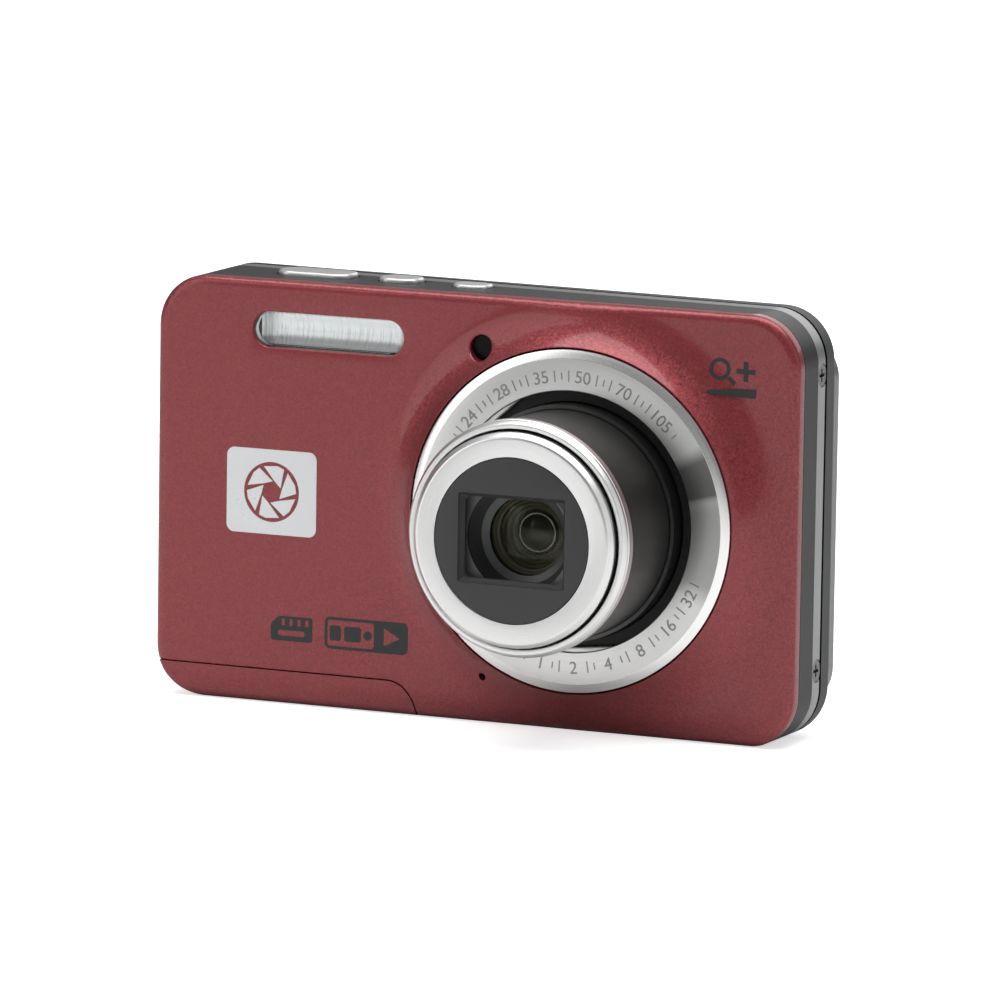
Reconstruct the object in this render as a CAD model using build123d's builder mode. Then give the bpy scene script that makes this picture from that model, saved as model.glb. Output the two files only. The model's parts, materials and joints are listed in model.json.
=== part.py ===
from build123d import *
from math import cos, pi, radians, sin, sqrt
import os

# Compact digital camera, millimetres.
# Origin: centre of the base on the surface it stands on.
# +X is the right-hand end seen from the front, -Y is the lens side, +Z is up.

os.makedirs("parts", exist_ok=True)

# ---------------------------------------------------------------- driving sizes
BODY_W = 91.5
BODY_H = 56.5
CORNER_R = 7.0
WALL = 1.2
FRONT_Y = -8.0
SEAM_Y = -5.8
SEAM_GAP = 0.15
COVER_SKIN = 1.1
EDGE_R = 0.8
ROLL_H = 4.0
MID_Z = BODY_H / 2
REACH = 14.0
GAP = 0.1

# The bands round the body are wedges: each boundary is y = start + slope * x.
TRIM_START, TRIM_SLOPE = 1.65, -0.062
TRIM_WIDTH = 2.4
GROOVE_WIDTH = 0.6
GROOVE_DEPTH = 0.6
REAR_START, REAR_SLOPE = 6.9, -0.0435
LIP_IN = 2.0

# Lens unit, turned about one axis. Distances "out" run forward from the ring face.
LENS_X, LENS_Z = 15.3, MID_Z
RING_Y = -11.1
RING_R = 22.6
RING_BEVEL_R = 21.3
OPENING_R = 17.1
TAB_CHORD = 16.35
TAB_ANGLES = (131.5, -84.0)
DOME_R = 27.2
DOME_TOP_Y = -10.9
RIM_R = 15.45
RIM_BACK, RIM_FRONT = 14.3, 16.9
OUTER_R, OUTER_WALL = 14.9, 0.75
OUTER_BACK = -1.0
BASE_R, BASE_WALL = 15.5, 0.5
BASE_FRONT, BASE_BACK = 1.6, -7.0
INNER_R, INNER_WALL = 14.0, 0.7
INNER_FRONT, INNER_BACK = 18.4, 8.0
DISC_R = 10.75
WINDOW_W, WINDOW_H = 13.9, 10.6
HOUSING_R, HOUSING_WALL = 20.0, 1.3
HOUSING_BACK_Y = 4.1
HOUSING_PLATE = 0.7

# Gear train that turns the cam ring.
MODULE = 0.4
CAM_TEETH, IDLER_TEETH, PINION_TEETH = 90, 15, 8
IDLER_ANGLE = 36.0
GEAR_Y, GEAR_FACE = 0.9, 1.4
AXLE_R = 0.5
RUN_GAP = 0.05

# Flash, lamp and microphone in the front cover.
FLASH_X, FLASH_Z, FLASH_W, FLASH_H = -20.9, 50.0, 21.7, 4.7
LAMP_X, LAMP_Z, LAMP_R = 1.4, 49.75, 1.65
MIC_X, MIC_Z, MIC_R = 2.4, 6.5, 0.5

# Top keys: centre x, centre y, length, width, height above the top.
SHUTTER_KEY = (-26.2, 0.2, 10.9, 5.0, 0.6)
POWER_KEY = (-14.0, 0.05, 5.9, 4.2, 0.6)
MODE_KEY = (-3.6, -0.25, 5.2, 3.7, 0.45)
KEY_FLANGE = 0.6
TOP_BOARD_Z, BOARD_T = 52.6, 0.6

# Rear keys, placed on the sloping rear face as (x, z).
ROCKER_AT, ROCKER_W, ROCKER_H = (-31.5, 47.0), 13.0, 5.0
NAV_AT, NAV_R, NAV_HOLE_R, OK_R = (-31.5, 26.0), 7.6, 3.5, 3.2
SMALL_KEY_R = 2.1
RECORD_AT = (-22.6, 38.0)
PLAYBACK_AT = (-40.2, 38.0)
MENU_AT = (-39.6, 14.2)
DELETE_AT = (-23.4, 14.2)

# Screen, on the far end of the rear face from the keys.
SCREEN_X0, SCREEN_X1 = -17.0, 45.35
SCREEN_Z0, SCREEN_Z1 = 3.5, 52.4
SCREEN_START, SCREEN_SLOPE = 8.45, -0.0208
PANE_MARGIN, PANE_T = 1.7, 0.8

# Battery bay and its door.
BAY_X0, BAY_X1, BAY_Y0, BAY_Y1, BAY_Z0, BAY_Z1 = -43.2, -12.2, -6.6, 0.4, 5.2, 45.2
BAY_WALL = 0.7
DOOR_H = 4.6
DOOR_PIVOT_X, DOOR_PIVOT_Z = -11.8, 0.83
DOOR_END_R = DOOR_H - DOOR_PIVOT_Z
DOOR_Y1 = 3.9
PIN_R = 0.4
PIN_Y0, PIN_Y1 = -5.6, 4.7
KNUCKLE_R = 0.8
LUG_Y0, LUG_Y1 = -1.0, 0.0

# Fasteners and tripod bush.
HEAD_R, HEAD_T, SHANK_R, SHANK_L = 1.52, 0.7, 0.65, 3.4
SIDE_SCREW_Z = (9.5, 48.2)
RIGHT_SCREW_Y, LEFT_SCREW_Y = 0.25, 5.7
BASE_SCREWS = ((24.0, -3.6), (38.0, -3.6))
BUSH_X, BUSH_Y, BUSH_R, BUSH_H, BUSH_BORE_R = 6.0, -1.4, 4.0, 6.5, 3.175

# Groups of screws and openings.
TOP_KEYS = (SHUTTER_KEY, POWER_KEY, MODE_KEY)
SIDE_SCREWS = [(x, y, z) for x, y in ((1, RIGHT_SCREW_Y), (-1, LEFT_SCREW_Y)) for z in SIDE_SCREW_Z]
USB_Y, USB_Z, USB_W, USB_H = -0.2, 47.2, 7.6, 2.7
STRAP_Z, STRAP_Y, STRAP_H, STRAP_W, STRAP_R = 15.0, -1.0, 7.0, 3.2, 0.55
REAR_KEYS = (
    (RECORD_AT, SMALL_KEY_R),
    (PLAYBACK_AT, SMALL_KEY_R),
    (MENU_AT, SMALL_KEY_R),
    (DELETE_AT, SMALL_KEY_R),
)
PORT_X0, PORT_X1, PORT_Z0, PORT_Z1 = -14.0, 42.3, 6.5, 49.5

# Keys: flange on the rear ones, the board they press on.
KEY_REST_TOP = 0.5
KEY_FLANGE_TOP = WALL + 0.1
KEY_FLANGE_T = 0.4
NAV_FLANGE_TOP = WALL + 0.5
KEY_BOARD_DEPTH = 2.75

# Gear centres and the zoom motor.
IDLER_TURN = radians(IDLER_ANGLE)
IDLER_DISTANCE = MODULE * (CAM_TEETH + IDLER_TEETH) / 2
IDLER_AT = (
    LENS_X + IDLER_DISTANCE * cos(IDLER_TURN),
    LENS_Z + IDLER_DISTANCE * sin(IDLER_TURN),
)
PINION_DISTANCE = MODULE * (IDLER_TEETH + PINION_TEETH) / 2
PINION_AT = (
    IDLER_AT[0] + PINION_DISTANCE * cos(IDLER_TURN),
    IDLER_AT[1] + PINION_DISTANCE * sin(IDLER_TURN),
)
MOTOR_R, MOTOR_Y0, MOTOR_Y1 = 3.0, -6.5, 0.5

# Front group: blades, lens cell and lenses inside the barrels.
BLADE_FRONT, BLADE_T = INNER_FRONT - 1.75, 0.3
BLADE_W, BLADE_H, BLADE_PARK = 15.0, 5.75, 5.7
CLEAR_R = INNER_R - INNER_WALL - 0.05
CELL_FRONT = BLADE_FRONT - BLADE_T - 0.3
GLASS_R = 7.5
ZOOM_FRONT, ZOOM_BACK = 5.0, 2.8
FOCUS_FRONT_Y, FOCUS_BACK_Y = 1.4, 2.7

# Inside the flash, on the top board and in the bays.
FLASH_Y0, FLASH_Y1 = FRONT_Y + COVER_SKIN + 0.8, -2.2
TOP_INNER = BODY_H - WALL
SPRING_WIRE, SPRING_COIL_R = 0.15, 1.75
BATTERY_CLEAR = 0.1
CARD_X0, CARD_X1, CARD_Y0, CARD_Y1, CARD_Z0, CARD_Z1 = -41.0, -15.5, 0.6, 3.5, 5.2, 34.0

# Running fits and small clearances.
FIT, PIN_FIT = 0.03, 0.02
HEAD_SEAT, SHANK_SEAT, HEAD_SINK = 0.12, 1.5, 0.1
CROSS_L, CROSS_W, CROSS_DEPTH = 1.7, 0.4, 0.4
BOSS_HALF = 1.4
KEY_CLEAR, NAV_CLEAR = 0.15, 0.2
USB_R, STRAP_CORNER_R = 0.9, 0.8
BUSH_COLLAR, BUSH_COLLAR_LOW, BUSH_COLLAR_T, BUSH_FLOOR, BUSH_CHAMFER = 0.9, 0.9, 1.0, 0.8, 0.3

# Zoom rocker, its trunnion pin and the lugs that carry it.
ROCKER_CLEAR_W, ROCKER_CLEAR_H = 0.5, 0.4
ROCKER_BACK, ROCKER_PROUD, ROCKER_ROUND = WALL + 0.4, 1.0, 0.5
ROCKER_PIN_R, ROCKER_PIN_HALF, ROCKER_PIN_DEPTH = 0.4, 3.6, WALL + 0.7
ROCKER_STEM_W, ROCKER_STEM_L = 1.6, 0.8
LUG_OFFSET, LUG_W, LUG_T, LUG_DEPTH = 0.75, 2.2, 0.9, 1.7

# Screen surround, pane and display.
SCREEN_CORNER_R, SCREEN_FAR_R, SCREEN_BEVEL = 2.0, CORNER_R - 1.5, 0.5
PANE_END, PANE_LEDGE, PANE_SINK = 0.6, 1.2, 0.05
DISPLAY_INSET, DISPLAY_BACK = 1.5, 1.65

# Rear and top key details: heights above and depths under the face they come through.
KEY_ROUND, SMALL_KEY_ROUND, STEM_R, STEM_L = 0.4, 0.35, 0.8, 0.3
OK_PROUD, OK_BACK, OK_STEM_END, OK_STEM_R = 0.7, 1.6, 2.2, 0.9
NAV_PROUD, NAV_FLANGE = 0.9, 0.9
REAR_BOARD_AT, REAR_BOARD_W, REAR_BOARD_H = (-30.6, 28.8), 22.4, 35.0
SWITCH_TOP, OK_SWITCH_TOP, SWITCH_R = 2.42, 2.52, 1.3
NAV_PAD, NAV_PAD_TOP, NAV_PAD_R = 5.5, 2.6, 1.0
KEY_LIP, TOP_FLANGE_LOW, TOP_STEM_R, TOP_STEM_LOW = 0.2, 0.8, 0.9, 1.0
TOP_BOARD_X, TOP_BOARD_Y = (-34.0, 1.0), (-3.0, 3.6)
TOP_SWITCH_R, TOP_SWITCH_T, SPRING_TURNS = 1.4, 0.4, 2.5

# Lens housing, cam ring and gear teeth (tooth sizes in modules).
LEDGE_Y, LEDGE_BACK, LEDGE_GAP, LEDGE_EDGE = 1.15, 2.1, 0.15, 1.1
IDLER_EAR_R, PINION_EAR_R, SPINDLE_R = 4.2, 2.6, 0.45
CAM_STEP, CAM_FRONT_Y, CAM_BACK_Y, CAM_BORE_R = 0.5, RING_Y + 2.4, 3.2, 16.3
TRACK_ANGLES, TRACK_Y, TRACK_SLOPE, TRACK_L, TRACK_W = (30, 150, 270), -5.0, 40, 9.0, 1.8
DEDENDUM, ADDENDUM, ROOT_HALF, TIP_HALF = 1.15, 0.85, 0.30, 0.13
BASE_FLANGE, BASE_FLANGE_T = 0.65, 0.8

# Optics. FRONT_LENS: radius, front and back edge planes, front and back bulge.
HOLE_LESS_W, HOLE_LESS_H, HOLE_R = 2.4, 2.0, 0.8
SLOPE_LESS_W, SLOPE_LESS_H = 2.0, 1.6
CELL_T, CELL_WALL, CELL_SEAT_R, SEAT_FRONT, SEAT_BACK = 0.6, 1.1, 5.6, 11.0, 10.4
RETAINER_R, RETAINER_SLOPE, RETAINER_BACK, RETAINER_FRONT = 5.2, 1.2, 13.25, 13.9
FRONT_LENS = (5.1, 13.0, 11.4, 0.9, -0.9)
FLANGE_FRONT, FLANGE_BACK = 13.2, 11.1
APERTURE_R, APERTURE_FRONT, APERTURE_T, COLLAR_W, COLLAR_T = 2.3, 9.0, 0.6, 0.45, 0.3
CARRIER_R, CARRIER_WALL, CARRIER_T, ZOOM_LENS_R = 4.6, 1.2, 1.0, 4.55
FOCUS_LENS_R, FOCUS_RIM_R = 4.5, 7.0
SENSOR_W, SENSOR_H, SENSOR_Y = 8.2, 6.8, (3.25, 4.75)

# Electronics and fittings, as (low, high) pairs along X, Y and Z.
FLASH_BOARD = ((-32.0, -9.8), (-1.9, -1.3), (46.2, 52.3))
FLASH_COIL = ((-30.0, -24.0), (-1.3, 1.2), (46.6, 51.6))
TUBE_Y, TUBE_R, TUBE_OVER = FLASH_Y1 - 1.5, 0.65, 0.8
CAPACITOR = (39.6, -0.8, 3.2, 12.5, 35.5)
CAPACITOR_ROUND = 0.5
LAMP_FRONT_Y, LAMP_FLANGE_Y, LAMP_BACK_Y, LAMP_FLANGE = -7.5, -6.3, -5.4, 0.7
MIC_BODY_R, MIC_Y0, MIC_Y1 = 2.0, -6.7, -5.5
SPEAKER_X, SPEAKER_Y, SPEAKER_Z = (20.0, 32.0), (-3.6, -0.8), (49.4, 54.8)
CONE_W, CONE_H, CONE_R = 9.6, 3.6, 1.2
MAIN_BOARD_X, MAIN_BOARD_Y, MAIN_BOARD_Z = (-11.5, 19.5), 4.9, (7.5, 48.5)
CHIPS = ((-10.5, -5.0, 12.0, 19.0, 1.2), (-10.5, -5.5, 24.0, 38.0, 0.9))
CHASSIS_RAILS = (
    ((BAY_X1 - 0.5, 44.3), (-4.4, 0.4), (6.7, 7.9)),
    ((43.0, 44.3), (-4.4, -2.2), (6.7, 44.0)),
    ((BAY_X1 - 0.5, -3.0), (-2.6, -1.6), (7.0, 44.0)),
)
LUG_TOP, DOOR_SWEEP = 7.0, 0.3
BATTERY_R = 1.2
CONTACT_X = (BAY_X0 + 5.0, BAY_X0 + 9.0, BAY_X0 + 13.0)
CONTACT_W, CONTACT_T, CONTACT_Y = 1.6, 0.75, (-3.9, -2.3)
CARD_SIDE, CARD_SHEET = 0.6, 0.3
RIB_X, RIB_Y, RIB_T, RIB_TOP = (-36.0, -28.0, -20.0), (-5.6, -0.6), 1.2, 4.4
LATCH_X, LATCH_Y, LATCH_Z, LATCH_TRAVEL = (-32.9, -25.9), (0.1, 2.3), (0.15, 1.25), 1.3
LATCH_GROOVES, LATCH_GROOVE_W, LATCH_GROOVE_TOP = (0.6, 1.1, 1.6), 0.2, 0.35
GROOVE_X = (-32.0, -26.8)
TONGUE_X, TONGUE_Y, TONGUE_T = (-34.0, -24.8), (0.1, 3.7), 0.7

LENS_PLANE = Plane(origin=(LENS_X, 0, LENS_Z), x_dir=(1, 0, 0), z_dir=(0, 0, 1))
LENS_AXIS = Axis((LENS_X, 0, LENS_Z), (0, 1, 0))
REAR_NORMAL = Vector(-REAR_SLOPE, 1, 0).normalized()
REAR_FACE = Plane(origin=(0, REAR_START, 0), x_dir=(-1, -REAR_SLOPE, 0), z_dir=REAR_NORMAL)


# ---------------------------------------------------------------- helpers
def front_plane(y):
    """Plane across the body at y, looking along the lens: local axes are X and Z."""
    return Plane.XZ.offset(-y)


def out(distance):
    """The y of a plane that lies this far in front of the ring face."""
    return RING_Y - distance


def trim_front(x):
    return TRIM_START + TRIM_SLOPE * x


def trim_back(x):
    return trim_front(x) + TRIM_WIDTH


def groove_back(x):
    return trim_back(x) + GROOVE_WIDTH


def rear_face(x):
    return REAR_START + REAR_SLOPE * x


def screen_face(x):
    return SCREEN_START + SCREEN_SLOPE * x


def outline(inset=0.0, mode=Mode.ADD):
    """Rounded front outline of the body, drawn in by inset."""
    with Locations((0, MID_Z)):
        RectangleRounded(BODY_W - 2 * inset, BODY_H - 2 * inset, CORNER_R - inset, mode=mode)


def wedge(front, back, x0=-BODY_W, x1=BODY_W):
    """Plan-view outline between two sloping lines across the body."""
    Polygon((x0, front(x0)), (x1, front(x1)), (x1, back(x1)), (x0, back(x0)), align=None)


def sleeve(front, back, outer_inset, inner_inset):
    """Tube that follows the body outline between two sloping lines."""
    with BuildPart() as tube:
        with BuildSketch(front_plane(REACH)):
            outline(outer_inset)
            outline(inner_inset, mode=Mode.SUBTRACT)
        extrude(amount=2 * REACH)
        with BuildSketch(Plane.XY.offset(-1)):
            wedge(front, back)
        extrude(amount=BODY_H + 2, mode=Mode.INTERSECT)
    return tube.part


def turned(*points, mode=Mode.ADD):
    """Revolve a closed (radius, y) outline about the lens axis into the open part."""
    with BuildSketch(LENS_PLANE) as profile:
        with BuildLine():
            Polyline(*points, close=True)
        make_face()
    revolve(profile.sketch, axis=LENS_AXIS, mode=mode)


def tube(r0, r1, y0, y1, mode=Mode.ADD):
    """Ring about the lens axis between two radii and two y planes."""
    turned((r0, y0), (r1, y0), (r1, y1), (r0, y1), mode=mode)


def box(x, y, z, mode=Mode.ADD):
    """Box from three (low, high) pairs."""
    with Locations(((x[0] + x[1]) / 2, (y[0] + y[1]) / 2, (z[0] + z[1]) / 2)):
        Box(x[1] - x[0], y[1] - y[0], z[1] - z[0], mode=mode)


def rod(x, z, r, y0, y1, mode=Mode.ADD):
    """Round bar along Y."""
    with BuildSketch(front_plane(y1)) as disc:
        with Locations((x, z)):
            Circle(r)
    extrude(disc.sketch, amount=y1 - y0, mode=mode)


def side_rod(y, z, r, x0, x1, mode=Mode.ADD):
    """Round bar along X."""
    with BuildSketch(Plane.YZ.offset(x0)) as disc:
        with Locations((y, z)):
            Circle(r)
    extrude(disc.sketch, amount=x1 - x0, mode=mode)


def post(x, y, r, z0, z1, mode=Mode.ADD):
    """Round bar along Z."""
    with BuildSketch(Plane.XY.offset(z0)) as disc:
        with Locations((x, y)):
            Circle(r)
    extrude(disc.sketch, amount=z1 - z0, mode=mode)


def rear_plane(depth):
    """Plane parallel to the sloping rear face, this far under it."""
    return REAR_FACE.offset(-depth)


def rear_at(place):
    """Local coordinates on the rear face of a point given as (x, z)."""
    return (-place[0] / REAR_NORMAL.Y, place[1])


def gear_blank(teeth, y0, face, centre, phase):
    """Spur gear with straight-sided teeth; phase is the angle of one tooth in degrees."""
    pitch_r = MODULE * teeth / 2
    root_r = pitch_r - DEDENDUM * MODULE
    tip_r = pitch_r + ADDENDUM * MODULE
    half_root = ROOT_HALF * MODULE * pi
    half_tip = TIP_HALF * MODULE * pi
    plane = Plane(origin=(centre[0], y0 + face, centre[1]), x_dir=(1, 0, 0), z_dir=(0, -1, 0))
    with BuildPart() as gear:
        with BuildSketch(plane):
            Circle(root_r)
            with PolarLocations(0, teeth, start_angle=phase):
                Polygon(
                    (root_r - 0.2, -half_root),
                    (tip_r, -half_tip),
                    (tip_r, half_tip),
                    (root_r - 0.2, half_root),
                    align=None,
                )
        extrude(amount=face)
    return gear.part


def save(part, name):
    part.label = name
    export_step(part, f"parts/{name}.step")


# ---------------------------------------------------------------- front cover and door
def dome(out_by, mode=Mode.ADD):
    """Cove that sweeps from the flat front up to the lens ring, moved along Y by out_by."""
    with BuildSketch(LENS_PLANE) as profile:
        with BuildLine():
            Line((DOME_R, FRONT_Y + out_by), (DOME_R, SEAM_Y + out_by))
            Line((DOME_R, SEAM_Y + out_by), (0, SEAM_Y + out_by))
            Line((0, SEAM_Y + out_by), (0, DOME_TOP_Y + out_by))
            Line((0, DOME_TOP_Y + out_by), (RING_R + GAP, DOME_TOP_Y + out_by))
            TangentArc(
                (DOME_R, FRONT_Y + out_by), (RING_R + GAP, DOME_TOP_Y + out_by), tangent=(-1, 0)
            )
        make_face()
    revolve(profile.sketch, axis=LENS_AXIS, mode=mode)


def stadium(x, z, width, height):
    """Slot-shaped outline centred at (x, z) in the open sketch."""
    with Locations((x, z)):
        RectangleRounded(width, height, height / 2 - 0.01)


def door_zone(end_r, top, clear):
    """Solid that covers the battery door's corner, ending in an arc about the hinge."""
    with BuildPart() as zone:
        with BuildSketch(front_plane(DOOR_Y1 + clear)):
            x0 = -BODY_W
            with Locations(((x0 + DOOR_PIVOT_X) / 2, (top - BODY_H) / 2)):
                Rectangle(DOOR_PIVOT_X - x0, top + BODY_H)
            with Locations((DOOR_PIVOT_X, DOOR_PIVOT_Z)):
                Circle(end_r)
            with Locations((DOOR_PIVOT_X + end_r / 2, DOOR_PIVOT_Z - BODY_H / 2)):
                Rectangle(end_r, BODY_H)
        extrude(amount=REACH + DOOR_Y1)
    return zone.part


with BuildPart() as front_skin:
    with BuildSketch(front_plane(SEAM_Y)):
        outline()
    extrude(amount=SEAM_Y - FRONT_Y)
    dome(0)
    with BuildSketch(front_plane(SEAM_Y)):
        outline()
    extrude(amount=REACH, mode=Mode.INTERSECT)
    # The lower front edge rolls under in a quarter ellipse.
    with BuildSketch(Plane.YZ.offset(-BODY_W / 2)):
        with BuildLine():
            Line((SEAM_Y, 0), (SEAM_Y, -1))
            Line((SEAM_Y, -1), (FRONT_Y - REACH, -1))
            Line((FRONT_Y - REACH, -1), (FRONT_Y - REACH, ROLL_H))
            Line((FRONT_Y - REACH, ROLL_H), (FRONT_Y, ROLL_H))
            EllipticalCenterArc(
                (SEAM_Y, ROLL_H), SEAM_Y - FRONT_Y, ROLL_H, start_angle=180, arc_size=90
            )
        make_face()
    extrude(amount=BODY_W, mode=Mode.SUBTRACT)
    upper_edges = (
        front_skin.edges()
        .filter_by_position(Axis.Y, FRONT_Y - 0.5, FRONT_Y + 0.01)
        .filter_by_position(Axis.Z, ROLL_H + 0.5, BODY_H + 1)
    )
    rim_edges = upper_edges.filter_by(lambda e: e.center().Z > BODY_H - CORNER_R / 2)
    side_edges = upper_edges.filter_by(lambda e: abs(e.center().X) > BODY_W / 2 - 0.1)
    fillet(rim_edges + side_edges, EDGE_R)

with BuildPart() as front_shell:
    add(front_skin.part)
    with BuildSketch(front_plane(SEAM_Y)):
        outline(WALL)
    extrude(amount=SEAM_Y - FRONT_Y - COVER_SKIN, mode=Mode.SUBTRACT)
    tube(0, RING_R + GAP, DOME_TOP_Y - 1, SEAM_Y, mode=Mode.SUBTRACT)
    with BuildPart(mode=Mode.PRIVATE) as dome_hollow:
        dome(COVER_SKIN)
        with BuildSketch(front_plane(SEAM_Y)):
            outline(WALL)
        extrude(amount=REACH, mode=Mode.INTERSECT)
    add(dome_hollow.part, mode=Mode.SUBTRACT)

door_cut = door_zone(DOOR_END_R + GAP, DOOR_H + GAP, GAP)
door_body = door_zone(DOOR_END_R, DOOR_H, 0)

with BuildPart() as front_cover:
    add(front_shell.part)
    add(door_cut, mode=Mode.SUBTRACT)
    with BuildSketch(front_plane(0)):
        stadium(FLASH_X, FLASH_Z, FLASH_W, FLASH_H)
        with Locations((LAMP_X, LAMP_Z)):
            Circle(LAMP_R)
        with Locations((MIC_X, MIC_Z)):
            Circle(MIC_R)
    extrude(amount=REACH, mode=Mode.SUBTRACT)
save(front_cover.part, "front_cover")

front_tongue = sleeve(lambda x: SEAM_Y - 0.8, lambda x: SEAM_Y + SEAM_GAP, WALL + GAP, LIP_IN)
mid_wall = sleeve(lambda x: SEAM_Y + SEAM_GAP, lambda x: trim_front(x) - 0.02, 0, WALL)
mid_join = sleeve(lambda x: SEAM_Y + SEAM_GAP, lambda x: SEAM_Y + 0.9, WALL - GAP, LIP_IN)


def key_outline(key, grow=0.0):
    """Rounded outline of a top key, grown by grow."""
    x, y, length, width, _ = key
    with Locations((x, y)):
        RectangleRounded(length + 2 * grow, width + 2 * grow, width / 2 - 0.3 + grow)


def screw_recess(inset_x, y, z, mode=Mode.SUBTRACT):
    """Counterbored hole for a side screw at one end of the body."""
    side = 1 if inset_x > 0 else -1
    with BuildSketch(Plane.YZ.offset(side * BODY_W / 2)) as head:
        with Locations((y, z)):
            Circle(HEAD_R + FIT)
    extrude(head.sketch, amount=-side * (HEAD_T + HEAD_SEAT), mode=mode)
    with BuildSketch(Plane.YZ.offset(side * BODY_W / 2)) as shank:
        with Locations((y, z)):
            Circle(SHANK_R + FIT)
    extrude(shank.sketch, amount=-side * (SHANK_L + SHANK_SEAT), mode=mode)


with BuildPart() as mid_frame:
    add(mid_wall)
    add(front_tongue)
    add(mid_join)
    add(door_cut, mode=Mode.SUBTRACT)
    with BuildSketch(Plane.XY.offset(BODY_H - 2 * LIP_IN)):
        for key in TOP_KEYS:
            key_outline(key, KEY_CLEAR)
    extrude(amount=2 * LIP_IN + 1, mode=Mode.SUBTRACT)
    with Locations((BUSH_X, BUSH_Y, 0)):
        Cylinder(BUSH_R + FIT, 4 * LIP_IN, mode=Mode.SUBTRACT)
    for screw_x, screw_y in BASE_SCREWS:
        post(screw_x, screw_y, HEAD_R + FIT, -1, HEAD_T + HEAD_SEAT, mode=Mode.SUBTRACT)
        post(screw_x, screw_y, SHANK_R + FIT, 0, 2 * LIP_IN, mode=Mode.SUBTRACT)
    for end, y, z in SIDE_SCREWS:
        screw_recess(end, y, z)
    with BuildSketch(Plane.YZ.offset(-BODY_W / 2 - 1)):
        with Locations((USB_Y, USB_Z)):
            RectangleRounded(USB_W, USB_H, USB_R)
        with Locations((STRAP_Y, STRAP_Z)):
            RectangleRounded(STRAP_W, STRAP_H, STRAP_CORNER_R)
    extrude(amount=2 * LIP_IN, mode=Mode.SUBTRACT)
    # Moulded bar across the strap slot.
    post(
        -BODY_W / 2 + WALL / 2,
        STRAP_Y,
        STRAP_R,
        STRAP_Z - STRAP_H / 2 - 0.3,
        STRAP_Z + STRAP_H / 2 + 0.3,
    )
save(mid_frame.part, "mid_frame")

trim_wall = sleeve(trim_front, trim_back, 0, WALL)
with BuildPart() as trim_band:
    add(trim_wall)
    add(door_cut, mode=Mode.SUBTRACT)
    with Locations((BUSH_X, BUSH_Y, 0)):
        Cylinder(BUSH_R + FIT, 4 * LIP_IN, mode=Mode.SUBTRACT)
    for end, y, z in SIDE_SCREWS:
        screw_recess(end, y, z)
    rod(DOOR_PIVOT_X, DOOR_PIVOT_Z, PIN_R + PIN_FIT, PIN_Y0, PIN_Y1, mode=Mode.SUBTRACT)
save(trim_band.part, "trim_band")

# ---------------------------------------------------------------- rear cover
rear_wall = sleeve(groove_back, rear_face, 0, WALL)
rear_lip = sleeve(lambda x: trim_back(x) + 0.02, groove_back, GROOVE_DEPTH, LIP_IN)
rear_join = sleeve(groove_back, rear_face, GROOVE_DEPTH, LIP_IN)
with BuildPart() as rear_panel:
    with BuildSketch(front_plane(REACH)):
        outline()
    extrude(amount=2 * REACH)
    with BuildSketch(Plane.XY.offset(-1)):
        wedge(lambda x: rear_face(x) - WALL, rear_face)
    extrude(amount=BODY_H + 2, mode=Mode.INTERSECT)

with BuildPart() as rear_cover:
    add(rear_wall)
    add(rear_lip)
    add(rear_join)
    add(rear_panel.part)
    outer_edges = rear_cover.edges().filter_by(
        lambda e: abs(e.center().Y - rear_face(e.center().X)) < 0.3 and e.length > 8
    )
    fillet(outer_edges, EDGE_R)
    # Opening that the display reaches through.
    box((PORT_X0, PORT_X1), (0, REACH), (PORT_Z0, PORT_Z1), mode=Mode.SUBTRACT)
    with BuildSketch(rear_plane(-1)):
        for place, key_r in REAR_KEYS:
            with Locations(rear_at(place)):
                Circle(key_r + KEY_CLEAR)
        with Locations(rear_at(NAV_AT)):
            Circle(NAV_R + NAV_CLEAR)
        with Locations(rear_at(ROCKER_AT)):
            RectangleRounded(ROCKER_W + ROCKER_CLEAR_W, ROCKER_H + ROCKER_CLEAR_H, ROCKER_H / 2)
    extrude(amount=-(1 + WALL + 0.2), mode=Mode.SUBTRACT)
    # Screw bosses behind both ends of the trim band.
    for end, y, z in SIDE_SCREWS:
        x_edge = end * (BODY_W / 2 - LIP_IN + 0.1)
        x_in = end * (BODY_W / 2 - SHANK_L - BOSS_HALF)
        back = groove_back(x_edge) + 0.4
        box(sorted((x_edge, x_in)), (y - BOSS_HALF, back), (z - BOSS_HALF, z + BOSS_HALF))
        screw_recess(end, y, z)
    # Lugs that carry the zoom rocker's trunnions.
    with BuildSketch(rear_plane(WALL - 0.2)):
        for dz in (-1, 1):
            with Locations(rear_at((ROCKER_AT[0], ROCKER_AT[1] + dz * (ROCKER_H / 2 + LUG_OFFSET)))):
                Rectangle(LUG_W, LUG_T)
    extrude(amount=-LUG_DEPTH)
    rocker_pivot = rear_plane(ROCKER_PIN_DEPTH).from_local_coords((*rear_at(ROCKER_AT), 0))
    post(
        rocker_pivot.X,
        rocker_pivot.Y,
        ROCKER_PIN_R + RUN_GAP,
        ROCKER_AT[1] - ROCKER_PIN_HALF - 0.4,
        ROCKER_AT[1] + ROCKER_PIN_HALF + 0.4,
        mode=Mode.SUBTRACT,
    )
save(rear_cover.part, "rear_cover")

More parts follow.
